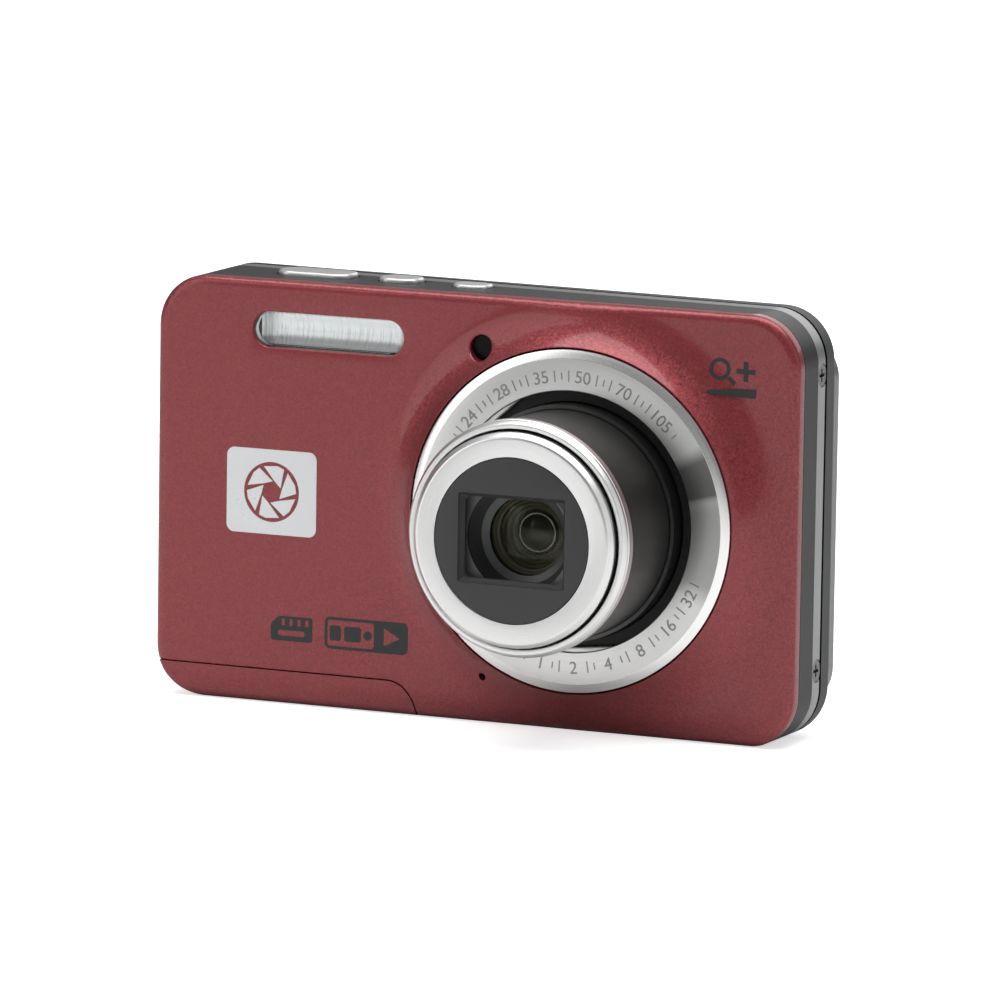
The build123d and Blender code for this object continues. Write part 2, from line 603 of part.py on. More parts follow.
# ---------------------------------------------------------------- screen
with BuildPart() as screen_frame:
    with BuildSketch(Plane.XY.offset(SCREEN_Z0)):
        wedge(rear_face, screen_face, SCREEN_X0, SCREEN_X1)
    extrude(amount=SCREEN_Z1 - SCREEN_Z0)
    corner_edges = screen_frame.edges().filter_by(
        lambda e: abs(e.center().X - SCREEN_X0) < 0.1
        and (abs(e.center().Z - SCREEN_Z0) < 0.1 or abs(e.center().Z - SCREEN_Z1) < 0.1)
    )
    fillet(corner_edges, SCREEN_CORNER_R)
    far_corners = screen_frame.edges().filter_by(
        lambda e: abs(e.center().X - SCREEN_X1) < 0.1
        and (abs(e.center().Z - SCREEN_Z0) < 0.1 or abs(e.center().Z - SCREEN_Z1) < 0.1)
    )
    fillet(far_corners, SCREEN_FAR_R)
    face_edges = screen_frame.faces().sort_by(Axis.Y)[-1].edges()
    chamfer(face_edges, SCREEN_BEVEL)
    pane_x0, pane_x1 = SCREEN_X0 + PANE_MARGIN, SCREEN_X1 - PANE_MARGIN - PANE_END
    pane_z0, pane_z1 = SCREEN_Z0 + PANE_MARGIN, SCREEN_Z1 - PANE_MARGIN
    with BuildSketch(Plane.XY.offset(pane_z0 - RUN_GAP)):
        wedge(lambda x: screen_face(x) - PANE_T, lambda x: REACH, pane_x0 - RUN_GAP, pane_x1 + RUN_GAP)
    extrude(amount=pane_z1 - pane_z0 + 2 * RUN_GAP, mode=Mode.SUBTRACT)
    box(
        (pane_x0 + PANE_LEDGE, pane_x1 - PANE_LEDGE),
        (0, REACH),
        (pane_z0 + PANE_LEDGE, pane_z1 - PANE_LEDGE),
        mode=Mode.SUBTRACT,
    )
save(screen_frame.part, "screen_frame")

with BuildPart() as screen_pane:
    with BuildSketch(Plane.XY.offset(pane_z0)):
        wedge(lambda x: screen_face(x) - PANE_T, lambda x: screen_face(x) - PANE_SINK, pane_x0, pane_x1)
    extrude(amount=pane_z1 - pane_z0)
save(screen_pane.part, "screen_pane")

with BuildPart() as display_panel:
    with BuildSketch(Plane.XY.offset(pane_z0 + DISPLAY_INSET)):
        wedge(
            lambda x: screen_face(x) - PANE_T - DISPLAY_BACK,
            lambda x: screen_face(x) - PANE_T - GAP,
            pane_x0 + DISPLAY_INSET + GAP,
            pane_x1 - DISPLAY_INSET - GAP,
        )
    extrude(amount=pane_z1 - pane_z0 - 2 * DISPLAY_INSET)
save(display_panel.part, "display_panel")

# ---------------------------------------------------------------- rear keys


def rear_disc(depth_top, depth_bottom, radius, place, hole_r=0.0):
    """Disc parallel to the rear face between two depths under it."""
    with BuildSketch(rear_plane(depth_top)) as disc:
        with Locations(rear_at(place)):
            Circle(radius)
            if hole_r:
                Circle(hole_r, mode=Mode.SUBTRACT)
    extrude(disc.sketch, amount=depth_top - depth_bottom)


def rear_key(place, radius):
    """Round key: cap through the cover, retaining flange and stem under it."""
    with BuildPart() as key:
        rear_disc(-KEY_REST_TOP, KEY_FLANGE_TOP, radius, place)
        cap_rim = key.faces().sort_by(Axis.Y)[-1].edges()
        fillet(cap_rim, SMALL_KEY_ROUND)
        rear_disc(KEY_FLANGE_TOP, KEY_FLANGE_TOP + KEY_FLANGE_T, radius + KEY_FLANGE, place)
        rear_disc(KEY_FLANGE_TOP + KEY_FLANGE_T, KEY_FLANGE_TOP + KEY_FLANGE_T + STEM_L, STEM_R, place)
    return key.part


save(rear_key(RECORD_AT, SMALL_KEY_R), "record_button")
save(rear_key(PLAYBACK_AT, SMALL_KEY_R), "playback_button")
save(rear_key(MENU_AT, SMALL_KEY_R), "menu_button")
save(rear_key(DELETE_AT, SMALL_KEY_R), "delete_button")

with BuildPart() as ok_button:
    rear_disc(-OK_PROUD, OK_BACK, OK_R, NAV_AT)
    fillet(ok_button.faces().sort_by(Axis.Y)[-1].edges(), KEY_ROUND)
    rear_disc(OK_BACK, OK_STEM_END, OK_STEM_R, NAV_AT)
save(ok_button.part, "ok_button")

with BuildPart() as nav_ring:
    rear_disc(-NAV_PROUD, NAV_FLANGE_TOP, NAV_R, NAV_AT, NAV_HOLE_R)
    fillet(nav_ring.faces().sort_by(Axis.Y)[-1].edges(), KEY_ROUND)
    rear_disc(NAV_FLANGE_TOP, NAV_FLANGE_TOP + KEY_FLANGE_T, NAV_R + NAV_FLANGE, NAV_AT, NAV_HOLE_R)
save(nav_ring.part, "nav_ring")

with BuildPart() as zoom_rocker:
    with BuildSketch(rear_plane(ROCKER_BACK)):
        with Locations(rear_at(ROCKER_AT)):
            RectangleRounded(ROCKER_W, ROCKER_H, ROCKER_H / 2 - 0.05)
    extrude(amount=ROCKER_BACK + ROCKER_PROUD)
    fillet(zoom_rocker.faces().sort_by(Axis.Y)[-1].edges(), ROCKER_ROUND)
    with BuildSketch(rear_plane(ROCKER_BACK)):
        with Locations(rear_at(ROCKER_AT)):
            Rectangle(ROCKER_STEM_W, ROCKER_H - 1.0)
    extrude(amount=-ROCKER_STEM_L)
    post(
        rocker_pivot.X,
        rocker_pivot.Y,
        ROCKER_PIN_R,
        ROCKER_AT[1] - ROCKER_PIN_HALF,
        ROCKER_AT[1] + ROCKER_PIN_HALF,
    )
save(zoom_rocker.part, "zoom_rocker")

with BuildPart() as rear_key_board:
    with BuildSketch(rear_plane(KEY_BOARD_DEPTH)):
        with Locations(rear_at(REAR_BOARD_AT)):
            Rectangle(REAR_BOARD_W, REAR_BOARD_H)
    extrude(amount=-BOARD_T)
    for place, _ in REAR_KEYS:
        rear_disc(SWITCH_TOP, KEY_BOARD_DEPTH, SWITCH_R, place)
    rear_disc(OK_SWITCH_TOP, KEY_BOARD_DEPTH, SWITCH_R, NAV_AT)
    for dx, dz in ((NAV_PAD, 0), (-NAV_PAD, 0), (0, NAV_PAD), (0, -NAV_PAD)):
        rear_disc(NAV_PAD_TOP, KEY_BOARD_DEPTH, NAV_PAD_R, (NAV_AT[0] + dx, NAV_AT[1] + dz))
save(rear_key_board.part, "rear_key_board")

# ---------------------------------------------------------------- lens ring and housing
with BuildPart() as lens_ring:
    turned(
        (OPENING_R, RING_Y + 1.1),
        (OPENING_R, RING_Y + 0.1),
        (OPENING_R + 0.1, RING_Y),
        (RING_BEVEL_R, RING_Y),
        (RING_R - 0.35, RING_Y + 0.22),
        (RING_R, RING_Y + 0.6),
        (RING_R, RING_Y + 2.6),
        (RING_R - 0.9, RING_Y + 2.6),
        (RING_R - 0.9, RING_Y + 1.1),
    )
    for angle in TAB_ANGLES:
        with BuildSketch(front_plane(RING_Y + 1.1)):
            with Locations((LENS_X, LENS_Z)):
                Circle(OPENING_R + 0.05)
            half = OPENING_R + 2
            reach = TAB_CHORD - half
            turn = radians(angle)
            with Locations(
                Location((LENS_X + reach * cos(turn), LENS_Z + reach * sin(turn), 0), (0, 0, angle))
            ):
                Rectangle(2 * half, 3 * half, mode=Mode.SUBTRACT)
        extrude(amount=0.65)
save(lens_ring.part, "lens_ring")

with BuildPart() as lens_housing:
    # Front flange with the dark ledge that shows inside the ring.
    tube(BASE_R + LEDGE_GAP, RING_R - LEDGE_EDGE, RING_Y + LEDGE_Y, RING_Y + LEDGE_BACK)
    tube(HOUSING_R - HOUSING_WALL, HOUSING_R, RING_Y + LEDGE_BACK - GAP, HOUSING_BACK_Y)
    tube(0, HOUSING_R, HOUSING_BACK_Y, HOUSING_BACK_Y + HOUSING_PLATE)
    # Ear behind the gears, and the idler's axle.
    with BuildSketch(front_plane(HOUSING_BACK_Y + HOUSING_PLATE)):
        with Locations(IDLER_AT):
            Circle(IDLER_EAR_R)
        with Locations(PINION_AT):
            Circle(PINION_EAR_R)
    extrude(amount=HOUSING_PLATE)
    rod(*IDLER_AT, IDLER_TEETH * MODULE / 2 + 0.75, GEAR_Y - 0.3, HOUSING_BACK_Y, mode=Mode.SUBTRACT)
    rod(*IDLER_AT, AXLE_R, GEAR_Y - 0.2, HOUSING_BACK_Y + 0.2)
    # Seat for the image sensor.
    box(
        (LENS_X - SENSOR_W / 2 - GAP, LENS_X + SENSOR_W / 2 + GAP),
        (HOUSING_BACK_Y - 1, REACH),
        (LENS_Z - SENSOR_H / 2 - GAP, LENS_Z + SENSOR_H / 2 + GAP),
        mode=Mode.SUBTRACT,
    )
save(lens_housing.part, "lens_housing")

with BuildPart() as cam_ring:
    cam_r = MODULE * CAM_TEETH / 2
    add(gear_blank(CAM_TEETH, GEAR_Y, GEAR_FACE, (LENS_X, LENS_Z), IDLER_ANGLE))
    tube(0, cam_r - CAM_STEP, CAM_FRONT_Y, CAM_BACK_Y)
    tube(0, CAM_BORE_R, RING_Y - 1, REACH, mode=Mode.SUBTRACT)
    # Three inclined cam tracks cut through the wall.
    for turn in TRACK_ANGLES:
        radial = Vector(cos(radians(turn)), 0, sin(radians(turn)))
        around = Vector(-sin(radians(turn)), 0, cos(radians(turn)))
        track = Plane(
            origin=Vector(LENS_X, TRACK_Y, LENS_Z) + radial * (CAM_BORE_R + 0.7),
            x_dir=around * cos(radians(TRACK_SLOPE)) + Vector(0, sin(radians(TRACK_SLOPE)), 0),
            z_dir=radial,
        )
        with BuildSketch(track.offset(-2)):
            SlotOverall(TRACK_L, TRACK_W)
        extrude(amount=4, mode=Mode.SUBTRACT)
save(cam_ring.part, "cam_ring")

with BuildPart() as idler_gear:
    add(
        gear_blank(
            IDLER_TEETH, GEAR_Y, GEAR_FACE, IDLER_AT, IDLER_ANGLE + 180 + 180 / IDLER_TEETH
        )
    )
    rod(*IDLER_AT, AXLE_R + RUN_GAP, GEAR_Y - 1, GEAR_Y + GEAR_FACE + 1, mode=Mode.SUBTRACT)
save(idler_gear.part, "idler_gear")

with BuildPart() as motor_pinion:
    add(
        gear_blank(
            PINION_TEETH, GEAR_Y, GEAR_FACE, PINION_AT, IDLER_ANGLE + 180 + 180 / PINION_TEETH
        )
    )
    rod(*PINION_AT, SPINDLE_R, MOTOR_Y1 + 0.05, GEAR_Y + 0.1)
save(motor_pinion.part, "motor_pinion")

with BuildPart() as zoom_motor:
    rod(*PINION_AT, MOTOR_R, MOTOR_Y0, MOTOR_Y1)
    rod(*PINION_AT, MOTOR_R - 0.8, MOTOR_Y0 - 0.3, MOTOR_Y0)
save(zoom_motor.part, "zoom_motor")

# ---------------------------------------------------------------- telescoping barrels
with BuildPart() as base_barrel:
    tube(BASE_R - BASE_WALL, BASE_R, out(BASE_FRONT), out(BASE_BACK))
    tube(BASE_R - BASE_WALL, BASE_R + BASE_FLANGE, out(BASE_BACK + BASE_FLANGE_T), out(BASE_BACK))
save(base_barrel.part, "base_barrel")

with BuildPart() as outer_barrel:
    tube(OUTER_R - OUTER_WALL, OUTER_R, out(RIM_BACK), out(OUTER_BACK))
save(outer_barrel.part, "outer_barrel")

with BuildPart() as barrel_rim:
    turned(
        (INNER_R + 0.25, out(RIM_BACK)),
        (RIM_R - 0.35, out(RIM_BACK)),
        (RIM_R, out(RIM_BACK + 0.5)),
        (RIM_R, out(RIM_FRONT - 0.9)),
        (RIM_R - 0.25, out(RIM_FRONT - 0.35)),
        (RIM_R - 0.6, out(RIM_FRONT)),
        (INNER_R + 0.4, out(RIM_FRONT)),
        (INNER_R + 0.25, out(RIM_FRONT - 0.2)),
    )
save(barrel_rim.part, "barrel_rim")

with BuildPart() as inner_barrel:
    turned(
        (INNER_R - INNER_WALL, out(INNER_BACK)),
        (INNER_R, out(INNER_BACK)),
        (INNER_R, out(INNER_FRONT - 0.8)),
        (INNER_R - 0.25, out(INNER_FRONT - 0.25)),
        (INNER_R - 0.8, out(INNER_FRONT)),
        (DISC_R + 0.05, out(INNER_FRONT)),
        (DISC_R + 0.05, out(INNER_FRONT - 1.0)),
        (INNER_R - INNER_WALL, out(INNER_FRONT - 1.0)),
    )
save(inner_barrel.part, "inner_barrel")

with BuildPart() as lens_face_plate:
    tube(0, DISC_R, out(INNER_FRONT - 0.03), out(INNER_FRONT - 1.05))
    tube(0, CLEAR_R, out(INNER_FRONT - 1.05), out(INNER_FRONT - 1.6))
    with BuildSketch(front_plane(out(INNER_FRONT))):
        with Locations((LENS_X, LENS_Z)):
            RectangleRounded(WINDOW_W - HOLE_LESS_W, WINDOW_H - HOLE_LESS_H, HOLE_R)
    extrude(amount=-3, mode=Mode.SUBTRACT)
    # Sloping border of the window.
    with BuildSketch(front_plane(out(INNER_FRONT))):
        with Locations((LENS_X, LENS_Z)):
            Rectangle(WINDOW_W, WINDOW_H)
    with BuildSketch(front_plane(out(INNER_FRONT - 1.0))):
        with Locations((LENS_X, LENS_Z)):
            Rectangle(WINDOW_W - SLOPE_LESS_W, WINDOW_H - SLOPE_LESS_H)
    loft(mode=Mode.SUBTRACT)
save(lens_face_plate.part, "lens_face_plate")


def barrier_blade(side):
    """Sliding blade parked above (1) or below (-1) the window when the lens is out."""
    with BuildPart() as blade:
        with BuildSketch(front_plane(out(BLADE_FRONT - BLADE_T))):
            with Locations((LENS_X, LENS_Z + side * (BLADE_PARK + 0.05 + BLADE_H / 2))):
                Rectangle(BLADE_W, BLADE_H)
            with Locations((LENS_X, LENS_Z)):
                Circle(CLEAR_R - 0.4, mode=Mode.INTERSECT)
        extrude(amount=BLADE_T)
    return blade.part


save(barrier_blade(1), "barrier_blade_upper")
save(barrier_blade(-1), "barrier_blade_lower")

with BuildPart() as lens_cell:
    tube(GLASS_R + GAP, CLEAR_R, out(CELL_FRONT), out(CELL_FRONT - CELL_T))
    tube(GLASS_R + GAP, GLASS_R + CELL_WALL, out(CELL_FRONT), out(INNER_BACK))
    tube(CELL_SEAT_R, GLASS_R + 0.3, out(SEAT_FRONT), out(SEAT_BACK))
save(lens_cell.part, "lens_cell")

with BuildPart() as lens_retainer:
    turned(
        (RETAINER_R, out(RETAINER_BACK)),
        (GLASS_R + GAP, out(RETAINER_BACK)),
        (GLASS_R + GAP, out(RETAINER_FRONT)),
        (RETAINER_R + RETAINER_SLOPE, out(RETAINER_FRONT)),
        (RETAINER_R, out(RETAINER_FRONT - 0.3)),
    )
save(lens_retainer.part, "lens_retainer")


def cap_mid(radius, bulge):
    """How far a spherical cap stands out at half its edge radius."""
    sphere_r = (radius**2 + bulge**2) / (2 * abs(bulge))
    drop = sphere_r - sqrt(sphere_r**2 - (radius / 2) ** 2)
    return (abs(bulge) - drop) * (1 if bulge > 0 else -1)


def lens(radius, front, back, front_bulge, back_bulge):
    """Turned lens between two edge planes; a positive bulge is convex."""
    with BuildPart() as glass:
        with BuildSketch(LENS_PLANE):
            with BuildLine():
                Line((0, out(back - back_bulge)), (0, out(front + front_bulge)))
                ThreePointArc(
                    (0, out(front + front_bulge)),
                    (radius / 2, out(front + cap_mid(radius, front_bulge))),
                    (radius, out(front)),
                )
                Line((radius, out(front)), (radius, out(back)))
                ThreePointArc(
                    (radius, out(back)),
                    (radius / 2, out(back - cap_mid(radius, back_bulge))),
                    (0, out(back - back_bulge)),
                )
            make_face()
        revolve(axis=LENS_AXIS)
    return glass.part


with BuildPart() as front_lens:
    add(lens(*FRONT_LENS))
    tube(FRONT_LENS[0] - GAP, GLASS_R, out(FLANGE_FRONT), out(FLANGE_BACK))
save(front_lens.part, "front_lens")

with BuildPart() as aperture_plate:
    tube(APERTURE_R, GLASS_R, out(APERTURE_FRONT), out(APERTURE_FRONT - APERTURE_T))
    tube(APERTURE_R, APERTURE_R + COLLAR_W, out(APERTURE_FRONT + COLLAR_T), out(APERTURE_FRONT))
save(aperture_plate.part, "aperture_plate")

with BuildPart() as zoom_carrier:
    tube(CARRIER_R, CLEAR_R, out(ZOOM_BACK + CARRIER_T), out(ZOOM_BACK))
    tube(CARRIER_R, CARRIER_R + CARRIER_WALL, out(ZOOM_FRONT), out(ZOOM_BACK))
save(zoom_carrier.part, "zoom_carrier")
save(lens(ZOOM_LENS_R, ZOOM_FRONT - 0.5, ZOOM_BACK + 0.3, 0.4, 0.4), "zoom_lens")

with BuildPart() as focus_lens:
    add(
        lens(FOCUS_LENS_R, RING_Y - FOCUS_FRONT_Y - 0.3, RING_Y - FOCUS_BACK_Y + 0.3, 0.25, 0.25)
    )
    tube(FOCUS_LENS_R - 0.2, FOCUS_RIM_R, FOCUS_FRONT_Y, FOCUS_BACK_Y)
save(focus_lens.part, "focus_lens")

# ---------------------------------------------------------------- sensor
with BuildPart() as image_sensor:
    box(
        (LENS_X - SENSOR_W / 2, LENS_X + SENSOR_W / 2),
        SENSOR_Y,
        (LENS_Z - SENSOR_H / 2, LENS_Z + SENSOR_H / 2),
    )
save(image_sensor.part, "image_sensor")

# ---------------------------------------------------------------- flash, lamp, microphone
with BuildPart() as flash_window:
    with BuildSketch(front_plane(FRONT_Y + COVER_SKIN + 0.05)):
        stadium(FLASH_X, FLASH_Z, FLASH_W - 0.3, FLASH_H - 0.3)
    extrude(amount=COVER_SKIN - 0.1)
    with BuildSketch(front_plane(FRONT_Y + COVER_SKIN + 0.75)):
        stadium(FLASH_X, FLASH_Z, FLASH_W + 1.2, FLASH_H + 1.0)
    extrude(amount=0.7)
save(flash_window.part, "flash_window")

with BuildPart() as flash_reflector:
    half_w, half_h = FLASH_W / 2 - 0.2, FLASH_H / 2 + 0.15
    box((FLASH_X - half_w, FLASH_X + half_w), (FLASH_Y0, FLASH_Y1), (FLASH_Z - half_h, FLASH_Z + half_h))
    with BuildSketch(Plane.YZ.offset(FLASH_X - half_w + 0.4)):
        with Locations((FLASH_Y0, FLASH_Z)):
            Ellipse(FLASH_Y1 - FLASH_Y0 - 0.4, half_h - 0.25)
    extrude(amount=2 * half_w - 0.8, mode=Mode.SUBTRACT)
    side_rod(TUBE_Y, FLASH_Z, TUBE_R + RUN_GAP, FLASH_X - 20, FLASH_X + 20, mode=Mode.SUBTRACT)
save(flash_reflector.part, "flash_reflector")

with BuildPart() as flash_tube:
    side_rod(TUBE_Y, FLASH_Z, TUBE_R, FLASH_X - half_w - TUBE_OVER, FLASH_X + half_w + TUBE_OVER)
save(flash_tube.part, "flash_tube")

with BuildPart() as flash_board:
    box(*FLASH_BOARD)
    box(*FLASH_COIL)
save(flash_board.part, "flash_board")

with BuildPart() as flash_capacitor:
    post(*CAPACITOR)
    fillet(flash_capacitor.edges().filter_by(GeomType.CIRCLE), CAPACITOR_ROUND)
save(flash_capacitor.part, "flash_capacitor")

with BuildPart() as focus_lamp:
    rod(LAMP_X, LAMP_Z, LAMP_R - GAP, LAMP_FRONT_Y, LAMP_BACK_Y)
    rod(LAMP_X, LAMP_Z, LAMP_R + LAMP_FLANGE, LAMP_FLANGE_Y, LAMP_BACK_Y)
save(focus_lamp.part, "focus_lamp")

with BuildPart() as microphone:
    rod(MIC_X, MIC_Z, MIC_BODY_R, MIC_Y0, MIC_Y1)
save(microphone.part, "microphone")

with BuildPart() as speaker:
    box(SPEAKER_X, SPEAKER_Y, SPEAKER_Z)
    with BuildSketch(front_plane(SPEAKER_Y[0])):
        with Locations((sum(SPEAKER_X) / 2, sum(SPEAKER_Z) / 2)):
            RectangleRounded(CONE_W, CONE_H, CONE_R)
    extrude(amount=-0.5, mode=Mode.SUBTRACT)
save(speaker.part, "speaker")

# ---------------------------------------------------------------- top keys


def top_key(key):
    """Key cap through the top wall with a retaining flange and a stem."""
    x, y, _, _, proud = key
    with BuildPart() as cap:
        with BuildSketch(Plane.XY.offset(TOP_INNER - KEY_LIP)):
            key_outline(key)
        extrude(amount=BODY_H + proud - TOP_INNER + KEY_LIP)
        fillet(cap.faces().sort_by(Axis.Z)[-1].edges(), KEY_ROUND)
        with BuildSketch(Plane.XY.offset(TOP_INNER - TOP_FLANGE_LOW)):
            key_outline(key, KEY_FLANGE)
        extrude(amount=0.6)
        post(x, y, TOP_STEM_R, TOP_INNER - TOP_STEM_LOW, TOP_INNER - TOP_FLANGE_LOW + 0.1)
    return cap.part


save(top_key(SHUTTER_KEY), "shutter_button")
save(top_key(POWER_KEY), "power_button")
save(top_key(MODE_KEY), "mode_button")

with BuildPart() as top_key_board:
    box(TOP_BOARD_X, TOP_BOARD_Y, (TOP_BOARD_Z, TOP_BOARD_Z + BOARD_T))
    for x, y, *_ in TOP_KEYS:
        post(x, y, TOP_SWITCH_R, TOP_BOARD_Z + BOARD_T, TOP_BOARD_Z + BOARD_T + TOP_SWITCH_T)
save(top_key_board.part, "top_key_board")

spring_z0 = TOP_BOARD_Z + BOARD_T + SPRING_WIRE + 0.02
spring_z1 = TOP_INNER - TOP_FLANGE_LOW - SPRING_WIRE - 0.02
with BuildPart() as shutter_spring:
    coil = Helix(
        pitch=(spring_z1 - spring_z0) / SPRING_TURNS,
        height=spring_z1 - spring_z0,
        radius=SPRING_COIL_R,
        center=(SHUTTER_KEY[0], SHUTTER_KEY[1], spring_z0),
        mode=Mode.PRIVATE,
    )
    with BuildSketch(Plane(origin=coil @ 0, z_dir=coil % 0)):
        Circle(SPRING_WIRE)
    sweep(path=coil, is_frenet=True)
save(shutter_spring.part, "shutter_spring")

# ---------------------------------------------------------------- boards and chassis
with BuildPart() as main_board:
    box(MAIN_BOARD_X, (MAIN_BOARD_Y, MAIN_BOARD_Y + BOARD_T), MAIN_BOARD_Z)
    for x0, x1, z0, z1, t in CHIPS:
        box((x0, x1), (MAIN_BOARD_Y - t, MAIN_BOARD_Y), (z0, z1))
save(main_board.part, "main_board")

with BuildPart() as chassis:
    box((BAY_X0, BAY_X1), (BAY_Y0, BAY_Y1), (BAY_Z0, BAY_Z1))
    box(
        (BAY_X0 + BAY_WALL, BAY_X1 - BAY_WALL),
        (BAY_Y0 + BAY_WALL, BAY_Y1 - BAY_WALL),
        (BAY_Z0 - 1, BAY_Z1 - BAY_WALL),
        mode=Mode.SUBTRACT,
    )
    for rail in CHASSIS_RAILS:
        box(*rail)
    tube(0, HOUSING_R + 0.1, -REACH, REACH, mode=Mode.SUBTRACT)
    for screw_x, screw_y in BASE_SCREWS:
        post(screw_x, screw_y, SHANK_R + FIT, 0, 10, mode=Mode.SUBTRACT)
    add(door_zone(DOOR_END_R + DOOR_SWEEP, GAP, 0), mode=Mode.SUBTRACT)
    # Lug that carries the middle of the door's hinge pin.
    lug_x = (DOOR_PIVOT_X - KNUCKLE_R, DOOR_PIVOT_X + KNUCKLE_R)
    box(lug_x, (LUG_Y0, LUG_Y1), (DOOR_PIVOT_Z, LUG_TOP))
    rod(DOOR_PIVOT_X, DOOR_PIVOT_Z, KNUCKLE_R, LUG_Y0, LUG_Y1)
    rod(DOOR_PIVOT_X, DOOR_PIVOT_Z, PIN_R + PIN_FIT, PIN_Y0, PIN_Y1, mode=Mode.SUBTRACT)
    for end, y, z in SIDE_SCREWS:
        screw_recess(end, y, z)
save(chassis.part, "chassis")

with BuildPart() as battery:
    box(
        (BAY_X0 + BAY_WALL + BATTERY_CLEAR, BAY_X1 - BAY_WALL - BATTERY_CLEAR),
        (BAY_Y0 + BAY_WALL + BATTERY_CLEAR, BAY_Y1 - BAY_WALL - BATTERY_CLEAR),
        (BAY_Z0 + GAP, BAY_Z1 - BAY_WALL - CONTACT_T - RUN_GAP),
    )
    fillet(battery.edges().filter_by(Axis.Z), BATTERY_R)
save(battery.part, "battery")

with BuildPart() as battery_contacts:
    for x in CONTACT_X:
        contact_z = (BAY_Z1 - BAY_WALL - CONTACT_T, BAY_Z1 - BAY_WALL)
        box((x - CONTACT_W / 2, x + CONTACT_W / 2), CONTACT_Y, contact_z)
save(battery_contacts.part, "battery_contacts")

with BuildPart() as card_socket:
    box((CARD_X0, CARD_X1), (CARD_Y0, CARD_Y1), (CARD_Z0, CARD_Z1))
    box(
        (CARD_X0 + CARD_SIDE, CARD_X1 - CARD_SIDE),
        (CARD_Y0 + CARD_SHEET, CARD_Y1 - CARD_SHEET),
        (CARD_Z0 - 1, CARD_Z1 - 1.0),
        mode=Mode.SUBTRACT,
    )
save(card_socket.part, "card_socket")

with BuildPart() as usb_connector:
    with BuildSketch(Plane.YZ.offset(-BODY_W / 2 + 0.5)):
        with Locations((USB_Y, USB_Z)):
            RectangleRounded(USB_W - 0.1, USB_H - 0.1, 0.85)
            RectangleRounded(USB_W - 0.7, USB_H - 0.7, 0.6, mode=Mode.SUBTRACT)
    extrude(amount=5.5)
    box(
        (-BODY_W / 2 + 5.4, -BODY_W / 2 + 6.5),
        (USB_Y - USB_W / 2, USB_Y + USB_W / 2),
        (USB_Z - USB_H / 2, USB_Z + USB_H / 2),
    )
    box(
        (-BODY_W / 2 + 1.5, -BODY_W / 2 + 5.5),
        (USB_Y - 2.4, USB_Y + 2.4),
        (USB_Z - 0.35, USB_Z + 0.35),
    )
save(usb_connector.part, "usb_connector")

# ---------------------------------------------------------------- battery door
door_plate = sleeve(lambda x: SEAM_Y, lambda x: DOOR_Y1, 0, WALL)
with BuildPart() as door_front:
    add(front_skin.part)
    with BuildSketch(front_plane(SEAM_Y)):
        outline(WALL)
    extrude(amount=SEAM_Y - FRONT_Y - COVER_SKIN, mode=Mode.SUBTRACT)

with BuildPart() as battery_door:
    add(door_front.part)
    add(door_plate)
    add(door_body, mode=Mode.INTERSECT)
    # Knuckle that turns on the hinge pin.
    rod(DOOR_PIVOT_X, DOOR_PIVOT_Z, KNUCKLE_R, SEAM_Y, DOOR_Y1 - 0.1)
    rod(DOOR_PIVOT_X, DOOR_PIVOT_Z, PIN_R + RUN_GAP, PIN_Y0 - 0.1, PIN_Y1 + 0.1, mode=Mode.SUBTRACT)
    # Notch for the chassis lug between the two knuckles.
    notch_x = (DOOR_PIVOT_X - KNUCKLE_R - 0.6, DOOR_PIVOT_X + DOOR_END_R)
    box(notch_x, (LUG_Y0 - 0.15, LUG_Y1 + 0.15), (-1, DOOR_H), mode=Mode.SUBTRACT)
    # Ribs that press the battery home.
    for x in RIB_X:
        box((x, x + RIB_T), RIB_Y, (WALL - GAP, RIB_TOP))
    # Slot for the latch.
    box(
        (LATCH_X[0] - GAP, LATCH_X[1] + GAP),
        (LATCH_Y[0] - GAP, LATCH_Y[1] + LATCH_TRAVEL),
        (-1, 2),
        mode=Mode.SUBTRACT,
    )
save(battery_door.part, "battery_door")

with BuildPart() as door_latch:
    box(LATCH_X, LATCH_Y, LATCH_Z)
    for y in LATCH_GROOVES:
        box(GROOVE_X, (y, y + LATCH_GROOVE_W), (0.0, LATCH_GROOVE_TOP), mode=Mode.SUBTRACT)
    box(TONGUE_X, TONGUE_Y, (WALL + RUN_GAP, WALL + RUN_GAP + TONGUE_T))
save(door_latch.part, "door_latch")

with BuildPart() as door_hinge_pin:
    rod(DOOR_PIVOT_X, DOOR_PIVOT_Z, PIN_R, PIN_Y0, PIN_Y1)
save(door_hinge_pin.part, "door_hinge_pin")

# ---------------------------------------------------------------- tripod bush and screws
with BuildPart() as tripod_bush:
    post(BUSH_X, BUSH_Y, BUSH_R, 0.0, BUSH_H)
    post(BUSH_X, BUSH_Y, BUSH_R + BUSH_COLLAR, WALL + BUSH_COLLAR_LOW, WALL + BUSH_COLLAR_LOW + BUSH_COLLAR_T)
    post(BUSH_X, BUSH_Y, BUSH_BORE_R, -1, BUSH_H - BUSH_FLOOR, mode=Mode.SUBTRACT)
    base_edges = tripod_bush.edges().filter_by(GeomType.CIRCLE).group_by(Axis.Z)[0]
    chamfer(base_edges.sort_by(SortBy.RADIUS)[0], BUSH_CHAMFER)
save(tripod_bush.part, "tripod_bush")


